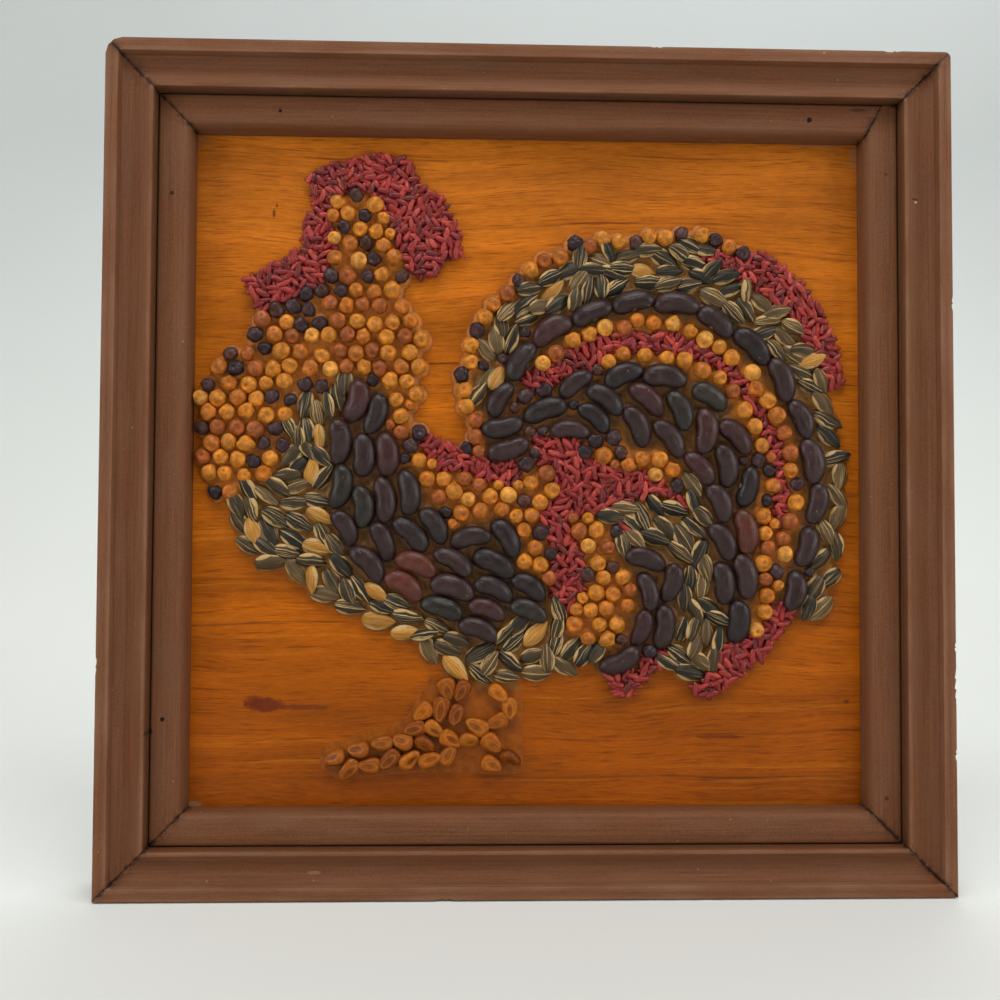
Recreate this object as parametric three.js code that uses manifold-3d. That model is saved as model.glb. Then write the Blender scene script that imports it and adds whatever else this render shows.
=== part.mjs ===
// A square framed picture of a rooster, laid in dried seeds on a stained wooden board.
// Millimetres, +Z up. The picture faces -Y, the wall is the plane y = 0, and the origin lies
// on the back of the top rail, where the panel hangs. Places on the picture are [x, z] from
// the board's centre, and headings are degrees counterclockwise from +X.
import * as THREE from 'three';
import { mergeVertices } from 'three/addons/utils/BufferGeometryUtils.js';
import { ConvexGeometry } from 'three/addons/geometries/ConvexGeometry.js';
import Module from 'manifold-3d';

const wasm = await Module();
wasm.setup();

// Frame and board
const PANEL_SIZE = 305;
const PANEL_DEPTH = 30;
const GAP = 0.3;
const RAIL_WIDTH = 16.5;
const RAIL_FILLET = 4.6;
const RAIL_BEVEL = 1;
const RIDGE_WIDTH = 1.2;
const RIDGE_DEPTH = 2;
const COVE_START_DEPTH = 3.6;
const COVE_SAG = 2;
const COVE_STEPS = 5;
const REBATE_WIDTH = 5.5;
const BOARD_FRONT_DEPTH = 17;
const BOARD_THICKNESS = 8;
const STRIP_WIDTH = 11.7;
const STRIP_TOP_DEPTH = 7.5;
const STRIP_ROUNDING = 5;
const STRIP_BEVEL = 0.8;
const ROUNDING_STEPS = 4;
const WORN_CORNER = 4;
const MOUNT_INSET = 5.5;

// Seeds: full length, width and height above the board, for whole seeds lying on their side
const BEAN = { length: 15.4, width: 7.2, height: 5.4 };
const SUNFLOWER = { length: 11.6, width: 5.3, height: 3.4 };
const KERNEL = { length: 8, width: 5.6, height: 4 };
const PEA = { length: 5.9, width: 5.9, height: 4.8 };
const DARK_PEA = { length: 5.1, width: 5.1, height: 4 };
const RICE_HEIGHT = 1.9;

// Glue: a thin film under the seeds. Cutters pass right through it, and a band's outline has a
// few more steps than its path has points.
const GLUE_THICKNESS = 0.6;
const CUT_HEIGHT = 9;
const BAND_STEPS = 1.1;

// Packing: how far the seeds of one bed are pushed apart, how closely peas fill a bed, how much
// two seeds may still overlap, and how much smaller the faceted seeds are than the round ones
const SETTLE_ROUNDS = 80;
const PUSH_SHARE = 0.45;
const TURN_SHARE = 0.25;
const PEA_PITCH = 6.6;
const PEA_JITTER = 1.4;
const FILL_MARGIN = 1.5;
const DARK_SHARE = 0.07;
const MOST_OVERLAP = 0.5;
const FACETED_SHARE = 0.94;

const HALF_PANEL = PANEL_SIZE / 2;
const DEGREES = Math.PI / 180;

// Outlines of each seed in halves of its length and width: the ring that meets the glue, and
// the points of its back with their share of the height. The tip is at +X.
BEAN.ring = [[1, 0.05], [0.62, 0.88], [-0.62, 0.88], [-1, 0.05], [-0.72, -0.86], [0.72, -0.86]];
BEAN.back = [[0.56, -0.06, 0.94], [0, 0.2, 1], [-0.56, -0.06, 0.94]];
SUNFLOWER.ring = [[1, 0], [0.1, 0.94], [-0.88, 0.5], [-0.88, -0.5], [0.1, -0.94]];
SUNFLOWER.back = [[0.3, 0, 0.86], [-0.5, 0, 1]];
KERNEL.ring = [[1, 0.3], [1, -0.3], [-0.5, -1], [-1, 0], [-0.5, 1]];
KERNEL.back = [[0.45, 0, 0.86], [-0.45, 0.35, 1], [-0.45, -0.35, 1]];
PEA.ring = regularRing(5, 1);
PEA.back = regularRing(3, 0.52).map(([x, z]) => [x, z, 1]);
DARK_PEA.ring = PEA.ring;
DARK_PEA.back = PEA.back;
for (const seed of [BEAN, SUNFLOWER, KERNEL]) {
  const reach = (seed.length - seed.width) / 2;
  seed.bumpers = [[reach, 0.8], [0, 1], [-reach, 0.95]];
}
PEA.bumpers = [[0, 1]];
DARK_PEA.bumpers = [[0, 1]];

const COLOURS = {
  frame: 0x5a3520,
  board: 0xb87424,
  bean: 0x372b31,
  sunflower: 0x6c6a52,
  kernel: 0xb4742e,
  pea: 0xcf8429,
  rice: 0x8f2f35,
};

function regularRing(sides, radius) {
  const ring = [];
  for (let i = 0; i < sides; i++) {
    const turn = (2 * Math.PI * i) / sides;
    ring.push([radius * Math.cos(turn), radius * Math.sin(turn)]);
  }
  return ring;
}

// A repeatable stream of numbers from 0 to 1
function makeRandom(seed) {
  let state = seed;
  return () => {
    state = (state * 1664525 + 1013904223) % 4294967296;
    return state / 4294967296;
  };
}

// Solids and geometries
function toSolid(geometry) {
  const bare = geometry.clone();
  bare.deleteAttribute('normal');
  bare.deleteAttribute('uv');
  const merged = mergeVertices(bare);
  const vertProperties = Float32Array.from(merged.attributes.position.array);
  const triVerts = Uint32Array.from(merged.index.array);
  return new wasm.Manifold(new wasm.Mesh({ numProp: 3, vertProperties, triVerts }));
}

function toGeometry(solid) {
  const mesh = solid.getMesh();
  const geometry = new THREE.BufferGeometry();
  geometry.setAttribute('position', new THREE.BufferAttribute(mesh.vertProperties, 3));
  geometry.setIndex(new THREE.BufferAttribute(mesh.triVerts, 1));
  geometry.computeVertexNormals();
  return geometry;
}

function makeMesh(name, geometry, colour, roughness) {
  const finish = { color: colour, roughness, metalness: 0, flatShading: true };
  const mesh = new THREE.Mesh(geometry, new THREE.MeshStandardMaterial(finish));
  mesh.name = name;
  return mesh;
}

// A mitred bar along the top: its profile is [inward, depth] points, from the panel's outer
// edge and its front, and each end leans along the corner's diagonal.
function mitredBar(profile) {
  const corners = profile.map(([inward, depth]) => new THREE.Vector2(inward, depth));
  const faces = THREE.ShapeUtils.triangulateShape(corners, []);
  const mitreGap = GAP * 0.75;
  const positions = [];
  for (const side of [-1, 1]) {
    for (const [inward, depth] of profile) {
      positions.push(side * (HALF_PANEL - inward - mitreGap), depth - PANEL_DEPTH, HALF_PANEL - inward);
    }
  }
  const count = profile.length;
  const reversed = THREE.ShapeUtils.area(corners) > 0;
  const index = [];
  const addFace = (a, b, c) => index.push(...(reversed ? [a, c, b] : [a, b, c]));
  for (const [a, b, c] of faces) {
    addFace(a, b, c);
    addFace(count + a, count + c, count + b);
  }
  for (let i = 0; i < count; i++) {
    const next = (i + 1) % count;
    addFace(i, count + i, count + next);
    addFace(i, count + next, next);
  }
  const geometry = new THREE.BufferGeometry();
  geometry.setAttribute('position', new THREE.Float32BufferAttribute(positions, 3));
  geometry.setIndex(index);
  return geometry;
}

// Outer rail: a flat fillet at the edge, a hollow cove and a narrow ridge, rebated behind
function railProfile() {
  const innerEdge = RAIL_WIDTH;
  const coveStart = RAIL_FILLET + 0.4;
  const coveEnd = innerEdge - RIDGE_WIDTH;
  const profile = [[0, PANEL_DEPTH], [0, RAIL_BEVEL], [RAIL_BEVEL, 0], [RAIL_FILLET, 0]];
  for (let i = 0; i <= COVE_STEPS; i++) {
    const t = i / COVE_STEPS;
    const chord = THREE.MathUtils.lerp(COVE_START_DEPTH, RIDGE_DEPTH, t);
    profile.push([THREE.MathUtils.lerp(coveStart, coveEnd, t), chord + COVE_SAG * Math.sin(Math.PI * t)]);
  }
  profile.push([innerEdge, RIDGE_DEPTH + 0.7], [innerEdge, BOARD_FRONT_DEPTH]);
  profile.push([innerEdge - REBATE_WIDTH, BOARD_FRONT_DEPTH], [innerEdge - REBATE_WIDTH, PANEL_DEPTH]);
  return profile;
}

// Inner strip: a flat bar with one rounded edge, nailed on the board inside the rails
function stripProfile() {
  const outer = RAIL_WIDTH + GAP;
  const inner = outer + STRIP_WIDTH;
  const profile = [[outer, BOARD_FRONT_DEPTH], [outer, STRIP_TOP_DEPTH + STRIP_BEVEL]];
  profile.push([outer + STRIP_BEVEL, STRIP_TOP_DEPTH]);
  for (let i = 0; i <= ROUNDING_STEPS; i++) {
    const turn = (i / ROUNDING_STEPS) * 90 * DEGREES;
    const inward = inner - STRIP_ROUNDING * (1 - Math.sin(turn));
    profile.push([inward, STRIP_TOP_DEPTH + STRIP_ROUNDING * (1 - Math.cos(turn))]);
  }
  profile.push([inner, BOARD_FRONT_DEPTH]);
  return profile;
}

// The worn outer corner is cut off across the top and left rails
function cutWornCorner(geometry, side) {
  const cutter = new THREE.BoxGeometry(6 * WORN_CORNER, 3 * PANEL_DEPTH, 2 * WORN_CORNER);
  cutter.translate(0, 0, WORN_CORNER);
  cutter.rotateY(side * 45 * DEGREES);
  cutter.translate(side * (HALF_PANEL - WORN_CORNER / 2), 0, HALF_PANEL - WORN_CORNER / 2);
  return toGeometry(toSolid(geometry).subtract(toSolid(cutter)));
}

function makeFrame() {
  const group = new THREE.Group();
  const turns = { top: 0, right: 90, bottom: 180, left: -90 };
  const wornSides = { top: -1, left: 1 };
  for (const [place, degrees] of Object.entries(turns)) {
    const bar = mitredBar(railProfile());
    const railGeometry = place in wornSides ? cutWornCorner(bar, wornSides[place]) : bar;
    const rail = makeMesh(`outer_rail_${place}`, railGeometry, COLOURS.frame, 0.6);
    const strip = makeMesh(`inner_strip_${place}`, mitredBar(stripProfile()), COLOURS.frame, 0.6);
    rail.rotation.y = degrees * DEGREES;
    strip.rotation.y = degrees * DEGREES;
    group.add(rail, strip);
  }
  return group;
}

function makeBoard() {
  const size = PANEL_SIZE - 2 * (RAIL_WIDTH - REBATE_WIDTH + GAP);
  const board = makeMesh('board', new THREE.BoxGeometry(size, BOARD_THICKNESS, size), COLOURS.board, 0.5);
  board.position.y = BOARD_FRONT_DEPTH + BOARD_THICKNESS / 2 - PANEL_DEPTH;
  return board;
}

// Plane geometry of the beds
function nearestEdge(outline, x, z) {
  let best = { distance: Infinity, x: 0, z: 0 };
  let inside = false;
  for (let i = 0; i < outline.length; i++) {
    const [ax, az] = outline[i];
    const [bx, bz] = outline[(i + 1) % outline.length];
    const along = ((x - ax) * (bx - ax) + (z - az) * (bz - az)) / ((bx - ax) ** 2 + (bz - az) ** 2);
    const t = THREE.MathUtils.clamp(along, 0, 1);
    const nearX = ax + (bx - ax) * t;
    const nearZ = az + (bz - az) * t;
    const distance = Math.hypot(x - nearX, z - nearZ);
    if (distance < best.distance) best = { distance, x: nearX, z: nearZ };
    if (az > z !== bz > z && x < ax + ((bx - ax) * (z - az)) / (bz - az)) inside = !inside;
  }
  return { ...best, inside, clearance: inside ? best.distance : -best.distance };
}

// The outline moved outward by a distance, at each corner along the middle of its two normals
function grow(outline, distance) {
  const turn = THREE.ShapeUtils.area(outline.map(([x, z]) => new THREE.Vector2(x, z))) > 0 ? 1 : -1;
  const normals = outline.map(([x, z], i) => {
    const [nextX, nextZ] = outline[(i + 1) % outline.length];
    return new THREE.Vector2(nextZ - z, x - nextX).normalize().multiplyScalar(turn);
  });
  return outline.map(([x, z], i) => {
    const before = normals[(i + outline.length - 1) % outline.length];
    const after = normals[i];
    const stretch = distance / Math.max(1 + before.dot(after), 0.35);
    return [x + (before.x + after.x) * stretch, z + (before.y + after.y) * stretch];
  });
}

// A strip along a smooth path, with its width at each of the path's points
function band(path, widths) {
  const curve = new THREE.SplineCurve(path.map(([x, z]) => new THREE.Vector2(x, z)));
  const steps = Math.round(path.length * BAND_STEPS);
  const left = [];
  const right = [];
  for (let i = 0; i <= steps; i++) {
    const t = i / steps;
    const centre = curve.getPoint(t);
    const tangent = curve.getTangent(t);
    const place = t * (path.length - 1);
    const before = Math.min(Math.floor(place), path.length - 2);
    const width = Array.isArray(widths)
      ? THREE.MathUtils.lerp(widths[before], widths[before + 1], place - before)
      : widths;
    left.push([centre.x - (tangent.y * width) / 2, centre.y + (tangent.x * width) / 2]);
    right.unshift([centre.x + (tangent.y * width) / 2, centre.y - (tangent.x * width) / 2]);
  }
  return [...left, ...right];
}

function prism(outline, height, start = 0) {
  const shape = new THREE.Shape(outline.map(([x, z]) => new THREE.Vector2(x, z)));
  const geometry = new THREE.ExtrudeGeometry(shape, { depth: height - start, bevelEnabled: false });
  return geometry.rotateX(90 * DEGREES).translate(0, -start, 0);
}

function cutterOf(outline) {
  return toSolid(prism(outline, CUT_HEIGHT, -CUT_HEIGHT));
}

// Seeds laid along a path, evenly spaced; lean turns each one away from the path's direction
function layRow({ path, count, lean = 0, seed }, random) {
  const curve = new THREE.SplineCurve(path.map(([x, z]) => new THREE.Vector2(x, z)));
  const [leanStart, leanEnd] = Array.isArray(lean) ? lean : [lean, lean];
  const row = [];
  for (let i = 0; i < count; i++) {
    const t = count > 1 ? i / (count - 1) : 0.5;
    const centre = curve.getPointAt(t);
    const tangent = curve.getTangentAt(t);
    const heading = Math.atan2(tangent.y, tangent.x) / DEGREES;
    const turned = heading + THREE.MathUtils.lerp(leanStart, leanEnd, t) + 10 * (random() - 0.5);
    row.push({ seed, x: centre.x, z: centre.y, heading: turned, scale: 0.94 + 0.12 * random() });
  }
  return row;
}

// Peas in staggered rows over a bed, some of them of the small dark kind
function fillWithPeas({ outline, dark = [] }, barriers, random) {
  const xs = outline.map(([x]) => x);
  const zs = outline.map(([, z]) => z);
  const peas = [];
  const rowPitch = PEA_PITCH * Math.sin(60 * DEGREES);
  let stagger = 0;
  for (let z = Math.min(...zs); z < Math.max(...zs); z += rowPitch) {
    stagger = PEA_PITCH / 2 - stagger;
    for (let x = Math.min(...xs) + stagger; x < Math.max(...xs); x += PEA_PITCH) {
      const pea = { x: x + PEA_JITTER * (random() - 0.5), z: z + PEA_JITTER * (random() - 0.5) };
      const blocked = barriers.some((barrier) => nearestEdge(barrier, pea.x, pea.z).clearance > -FILL_MARGIN);
      const nearDark = dark.some(([darkX, darkZ, reach]) => Math.hypot(pea.x - darkX, pea.z - darkZ) < reach);
      const isDark = nearDark || random() < DARK_SHARE;
      const scale = 0.95 + 0.1 * random();
      if (blocked || nearestEdge(outline, pea.x, pea.z).clearance < FILL_MARGIN) continue;
      peas.push({ seed: isDark ? DARK_PEA : PEA, ...pea, heading: 360 * random(), scale });
    }
  }
  return peas;
}

// The discs that keep a seed apart from its neighbours
function bumpersOf(item) {
  const cos = Math.cos(item.heading * DEGREES);
  const sin = Math.sin(item.heading * DEGREES);
  return item.seed.bumpers.map(([along, share]) => ({
    armX: along * cos * item.scale,
    armZ: along * sin * item.scale,
    radius: (item.seed.width / 2) * share * item.scale,
  }));
}

function pushSeed(item, disc, x, z) {
  item.x += x;
  item.z += z;
  const reach = (item.seed.length / 2) ** 2;
  item.heading += (TURN_SHARE * (disc.armX * z - disc.armZ * x)) / reach / DEGREES;
}

// Seeds jostle until they lie beside each other, inside their bed and clear of its barriers
function settle(items, outline, barriers) {
  for (let round = 0; round < SETTLE_ROUNDS; round++) {
    for (let i = 0; i < items.length; i++) {
      for (const disc of bumpersOf(items[i])) {
        const x = items[i].x + disc.armX;
        const z = items[i].z + disc.armZ;
        for (let j = 0; j < items.length; j++) {
          if (j === i || Math.hypot(items[j].x - items[i].x, items[j].z - items[i].z) > BEAN.length) continue;
          for (const other of bumpersOf(items[j])) {
            const gapX = x - items[j].x - other.armX;
            const gapZ = z - items[j].z - other.armZ;
            const apart = Math.hypot(gapX, gapZ) || 1;
            const overlap = disc.radius + other.radius - apart;
            if (overlap <= 0) continue;
            const push = (PUSH_SHARE * overlap) / apart;
            pushSeed(items[i], disc, gapX * push, gapZ * push);
            pushSeed(items[j], other, -gapX * push, -gapZ * push);
          }
        }
        for (const [wall, sign] of [[outline, 1], ...barriers.map((barrier) => [barrier, -1])]) {
          const edge = nearestEdge(wall, x, z);
          const short = disc.radius - sign * edge.clearance;
          if (short <= 0) continue;
          const outward = (edge.clearance * sign < 0 ? -1 : 1) / (edge.distance || 1);
          const push = PUSH_SHARE * short * outward;
          pushSeed(items[i], disc, (x - edge.x) * push, (z - edge.z) * push);
        }
      }
    }
  }
}

// The depth by which two seeds' discs overlap
function overlapOf(a, b) {
  let deepest = 0;
  for (const disc of bumpersOf(a)) {
    for (const other of bumpersOf(b)) {
      const apart = Math.hypot(a.x + disc.armX - b.x - other.armX, a.z + disc.armZ - b.z - other.armZ);
      deepest = Math.max(deepest, disc.radius + other.radius - apart);
    }
  }
  return deepest;
}

function withoutCrowding(items) {
  const kept = [];
  for (const item of items) {
    if (kept.every((other) => overlapOf(item, other) < MOST_OVERLAP)) kept.push(item);
  }
  return kept;
}

function seedSolid({ seed, x, z, heading, scale }) {
  const cos = Math.cos(heading * DEGREES);
  const sin = Math.sin(heading * DEGREES);
  const place = (along, across, height) => {
    const u = (along * seed.length * scale * FACETED_SHARE) / 2;
    const v = (across * seed.width * scale * FACETED_SHARE) / 2;
    return new THREE.Vector3(x + u * cos - v * sin, -height, z + u * sin + v * cos);
  };
  const ring = seed.ring.map(([along, across]) => place(along, across, GLUE_THICKNESS));
  const back = seed.back.map(([along, across, share]) => place(along, across, seed.height * share));
  return toSolid(new ConvexGeometry([...ring, ...back]));
}

// The picture's beds, each laid clear of those before it. Rows list a path and a number of
// seeds; peas and rice fill their bed.
const BEDS = [
  {
    name: 'wing_beans',
    seed: BEAN,
    outline: [
      [-70, 29], [-58, 33], [-52, 24], [-51, 11], [-46, 3], [-41, -15], [-30, -17], [-25, -22], [-14, -21],
      [-9, -18], [-3, -27], [3, -42], [8, -55], [-6, -58], [-9, -64], [-27, -64], [-29, -56], [-40, -51],
      [-52, -48], [-62, -40], [-71, -26], [-72, 0], [-74, 15],
    ],
    rows: [
      { path: [[-63.5, 24], [-68, 8], [-67, -8], [-66, -21], [-58, -34]], count: 5, lean: [0, 18] },
      { path: [[-57, 21], [-60, 3], [-59, -14], [-53, -28], [-44, -43], [-31, -50], [-18, -60]], count: 7 },
      { path: [[-53, 4], [-53, -11], [-45, -23], [-43, -34], [-28, -43], [-16, -51]], count: 6, lean: [0, 20] },
      { path: [[-46, -10], [-36, -22], [-28, -34], [-13, -43], [0, -52]], count: 5, lean: [0, 14] },
      { path: [[-22, -27], [-15, -34], [-3, -43]], count: 3, lean: [40, 0] },
      { path: [[-9, -26], [-8, -27]], count: 1, lean: -15 },
    ],
  },
  {
    name: 'tail_outer_beans',
    seed: BEAN,
    outline: band(
      [[-7, 3], [-10, 22], [-4, 41], [12, 54], [34, 62], [54, 62], [76, 52], [92, 36], [103, 15], [107, -6],
        [104, -26], [95, -51]],
      [17, 13, 10, 9, 9, 9, 9, 10, 10, 9, 9, 8],
    ),
    rows: [
      { path: [[-6.5, 8], [-7.5, 16]], count: 2, lean: 90 },
      {
        path: [[-11, 26], [-4, 41], [12, 54], [34, 62], [54, 62], [76, 52], [92, 36], [103, 15], [107, -6],
          [104, -26], [98, -44]],
        count: 14,
      },
    ],
  },
  {
    name: 'tail_inner_beans',
    seed: BEAN,
    outline: [
      [-4, 20], [8, 11], [30, 13], [48, 12], [58, -2], [66, -18], [68, -46], [72, -62], [80, -64], [85, -48],
      [84, -20], [87, 2], [81, 17], [72, 30], [60, 38.5], [38, 39], [24, 34], [12, 35], [6, 28],
    ],
    rows: [
      { path: [[5, 21], [16, 16]], count: 2, lean: [68, 40] },
      {
        path: [[16, 29], [37, 34], [59, 31], [71, 18], [80, 5], [80, -9], [80, -24], [81, -40], [77, -57]],
        count: 9,
      },
      { path: [[30, 26], [43, 27], [53, 24], [64, 17], [73, 3]], count: 5, lean: [-40, -10] },
      {
        path: [[25, 21], [40, 18], [55, 11], [64, 2], [71, -11], [73, -26], [73, -41]],
        count: 7,
        lean: [-35, 0],
      },
    ],
  },
  {
    name: 'plume_beans',
    seed: BEAN,
    outline: [
      [36, -25], [48, -29], [57, -37], [57, -49], [54, -66], [42, -69], [41, -75], [27, -75], [27, -67], [35, -64],
      [39, -52], [40, -39],
    ],
    rows: [
      { path: [[44, -31], [45, -45], [42, -60], [34, -71]], count: 4, lean: [45, -25] },
      { path: [[52, -42], [49, -58]], count: 2 },
    ],
  },
  {
    name: 'breast_sunflower_seeds',
    seed: SUNFLOWER,
    outline: [
      [-79, 24], [-72, 25], [-74, 14], [-73, -4], [-71, -27], [-61, -41], [-51, -49], [-39, -52], [-29, -57],
      [-27, -65], [-8, -65], [-6, -58], [9, -57], [19, -63], [20, -74], [4, -77], [-16, -80], [-26, -77],
      [-36, -70], [-54, -59], [-80, -49], [-107, -33], [-110, -16], [-104, -7], [-88, -4], [-86, 8],
    ],
    rows: [
      { path: [[-73, 18], [-77, 8], [-82, 0]], count: 3, lean: [0, 20] },
      { path: [[-77, -1], [-72, -2]], count: 2, lean: 85 },
      { path: [[-98, -9], [-85, -9], [-76, -11]], count: 3, lean: [-30, -5] },
      {
        path: [[-107, -17], [-103, -27], [-88, -36], [-75, -44], [-60, -52], [-45, -58], [-33, -67], [-22, -74],
          [-8, -76], [4, -73], [16, -69]],
        count: 14,
        lean: [0, -15],
      },
      { path: [[-101, -13], [-95, -22], [-87, -29], [-75, -36], [-62, -45]], count: 6, lean: 5 },
      { path: [[-94, -15], [-86, -18], [-78, -27], [-70, -36]], count: 5, lean: [-10, 10] },
      { path: [[-85, -14], [-76, -18], [-73, -24]], count: 3, lean: 10 },
      {
        path: [[-55, -49], [-44, -52], [-34, -58], [-27, -67], [-16, -68], [-7, -70]],
        count: 6,
        lean: [0, 15],
      },
      { path: [[-7, -62], [4, -61], [13, -63]], count: 3, lean: [60, 30] },
      { path: [[2, -67], [10, -68]], count: 2, lean: [-30, 70] },
    ],
  },
  {
    name: 'tail_sunflower_seeds',
    seed: SUNFLOWER,
    outline: band(
      [[-17.5, 27], [-13, 47], [0, 61], [16, 70.5], [38, 74.5], [60, 72], [78, 65.5], [93, 54], [103, 37],
        [111, 18], [115, -2], [113, -22], [109, -40], [107, -56]],
      [8, 11, 14, 17, 17, 16, 13, 12, 13, 13, 12, 12, 13, 8],
    ),
    rows: [
      {
        path: [[-17, 32], [-15, 42], [-11, 52], [-3, 61], [8, 68], [14, 74], [32, 79], [46, 80], [60, 76]],
        count: 10,
        lean: 8,
      },
      {
        path: [[-9, 48], [0, 56], [8, 61], [20, 65], [33, 68], [47, 68], [58, 68], [69, 65], [80, 60]],
        count: 9,
        lean: 8,
      },
      { path: [[19, 70], [32, 73], [43, 74]], count: 3, lean: [0, -20] },
      { path: [[52, 74], [72, 70], [86, 62]], count: 4, lean: [15, -10] },
      {
        path: [[90, 55], [97, 45], [104, 34], [108, 24], [112, 14], [115, 2], [116, -10]],
        count: 11,
        lean: [55, 40],
      },
      { path: [[114, -14], [112, -26], [112, -40], [108, -51]], count: 4, lean: [15, -15] },
      { path: [[108, -33], [104, -43]], count: 2, lean: 0 },
    ],
  },
  {
    name: 'plume_sunflower_seeds',
    seed: SUNFLOWER,
    outline: [
      [33, -15], [41, -10], [52, -9], [61, -15], [67, -29], [68, -45], [74, -50], [73, -65], [68, -72], [64, -79],
      [56, -76], [52, -67], [56, -50], [58, -37], [49, -29], [38, -26],
    ],
    rows: [
      { path: [[38, -19], [46, -24], [55, -31], [60, -43]], count: 4, lean: [0, 10] },
      { path: [[43, -15], [52, -22], [59, -30]], count: 3, lean: -5 },
      { path: [[49, -13], [57, -18], [63, -28], [65, -39]], count: 4, lean: 0 },
      { path: [[61, -52], [66, -51], [71, -49]], count: 3, lean: -70 },
      { path: [[56, -58], [60, -61], [65, -60], [69, -61]], count: 4, lean: 90 },
      { path: [[56, -69], [64, -70], [62, -75]], count: 3, lean: [-30, 60] },
    ],
  },
  {
    name: 'leg_kernels',
    seed: KERNEL,
    outline: [
      [-76, -103], [-62, -98], [-50, -95], [-42, -90], [-38, -81], [-36, -77], [-24, -78.5], [-3, -80], [-3, -112],
      [-40, -111], [-60, -113], [-68, -115], [-76, -110],
    ],
    rows: [
      { path: [[-31, -79], [-33, -86], [-39, -93], [-46, -99]], count: 5, lean: [20, -40] },
      { path: [[-25, -82], [-28, -89], [-34, -95]], count: 3, lean: [0, 60] },
      { path: [[-53, -101], [-62, -103], [-71, -106]], count: 3, lean: 0 },
      { path: [[-51, -106], [-58, -109], [-66, -110]], count: 3, lean: 15 },
      { path: [[-44, -107], [-37, -107], [-29, -104]], count: 3, lean: 30 },
      { path: [[-38, -101], [-25, -99], [-15, -100], [-7, -107]], count: 5, lean: [-50, 10] },
      { path: [[-11, -83], [-7, -88], [-13, -93], [-19, -95]], count: 4, lean: 20 },
      { path: [[-14, -108], [-13, -108]], count: 1 },
    ],
  },
  {
    name: 'tail_border_peas',
    outline: band(
      [[-17, 8], [-22, 22], [-24, 34], [-20, 48], [-15, 59], [0, 73], [16, 83], [34, 86], [55, 87], [72, 85.5],
        [82, 81]],
      7,
    ),
    rows: [
      {
        path: [[-18, 11], [-22, 22], [-24, 34], [-20, 48], [-15, 59], [0, 73], [16, 83], [34, 86], [55, 87],
          [72, 85.5], [80, 82]],
        count: 27,
        seed: PEA,
        dark: [4, 7, 11, 15, 19, 22, 24, 26],
      },
    ],
  },
  {
    name: 'tail_outer_peas',
    outline: band(
      [[1, 38], [12, 48], [28, 54.5], [50, 54.5], [68, 49], [80, 40], [88, 28], [97, 12], [100, -6], [97, -22],
        [93, -34]],
      [6, 7, 7, 7, 7, 7, 7, 7, 7, 7, 9],
    ),
    rows: [
      {
        path: [[3, 40], [12, 48], [28, 54.5], [50, 54.5], [68, 49], [80, 40], [88, 28], [97, 12], [100, -6],
          [97, -22], [94, -32]],
        count: 25,
        seed: PEA,
        dark: [20],
      },
    ],
  },
  {
    name: 'tail_inner_peas',
    outline: band(
      [[27, 40], [45, 42], [62, 39.5], [73, 32], [82, 19], [88, 3], [88, -14], [88, -32], [87, -46], [84, -60]],
      [6, 6.5, 6.5, 6.5, 6.5, 7, 8, 10, 10, 6],
    ),
    rows: [
      {
        path: [[29, 40.5], [45, 42], [62, 39.5], [73, 32], [82, 19], [88, 3], [88, -14], [86, -32], [86, -46],
          [84.5, -57]],
        count: 20,
        seed: PEA,
        dark: [11, 13],
      },
      { path: [[91.5, -30], [91.5, -44]], count: 3, seed: PEA, dark: [1] },
    ],
  },
  {
    name: 'head_and_neck_peas',
    peas: true,
    outline: [
      [-70, 104], [-61, 104], [-54, 96], [-50, 84], [-46, 77], [-44, 66], [-39, 58], [-38, 40], [-40, 22],
      [-50, 19], [-51, 28], [-59, 34], [-72, 30], [-82, 26], [-88, 9], [-90, -3], [-105, -6], [-112, -20],
      [-119, -13], [-124, 6], [-123, 33], [-112, 45], [-100, 57], [-88, 63], [-77, 69], [-73, 80], [-75, 96],
    ],
    dark: [
      [-62, 95, 6], [-62, 84, 4], [-59, 75, 4.5], [-50, 72, 4], [-74, 67, 6], [-87, 60, 6], [-80, 54, 4],
      [-101, 49, 3.5], [-109, 40, 5], [-117, 34, 4], [-84, 28, 6], [-75, 27, 5], [-120, 14, 5], [-94, 10, 5],
      [-101, 4, 4],
    ],
  },
  {
    name: 'saddle_peas',
    peas: true,
    outline: [
      [-51, 18], [-41, 21], [-37, 15], [-40, 9], [-34, 1], [-22, -1], [-9, -6], [-4, -17], [-8, -17], [-14, -20],
      [-25, -21], [-30, -16], [-40, -14], [-45, 4], [-50, 12],
    ],
    dark: [[-41, 15, 3.5], [-46, 6, 4], [-42, -5, 3.5]],
  },
  {
    name: 'tail_fan_peas',
    peas: true,
    outline: [
      [18, 11], [30, 12.5], [48, 11], [58, -3], [65, -16], [67, -29], [61, -14], [52, -7], [44, -2], [30, 1], [19, 5],
    ],
    dark: [[33, 7, 4], [55, -7, 4]],
  },
  {
    name: 'tail_root_peas',
    peas: true,
    outline: [
      [-2, 2], [8, 2], [11, -12], [3, -15], [9, -30], [9, -49], [16, -52], [20, -44], [20, -32], [15, -26], [15, -17],
      [30, -16], [37, -25], [41, -40], [39, -52], [35, -64], [27, -67], [26, -74], [19, -70], [8, -56], [-3, -27],
      [-8, -17], [-5, -7],
    ],
    dark: [[0, 1, 3], [5, -31, 3.5], [2, -41, 4]],
  },
  {
    name: 'comb_rice',
    rice: true,
    outline: [
      [-82, 108], [-72, 113], [-54, 117], [-46, 114], [-41, 105], [-34, 101], [-28, 90], [-26, 80], [-32, 79],
      [-36, 72], [-48, 74], [-56, 84], [-60, 95], [-68, 97], [-68, 80], [-73, 66], [-88, 60], [-99, 56],
      [-105, 69], [-92, 77], [-83, 81], [-84, 91], [-79, 96],
    ],
  },
  {
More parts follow.
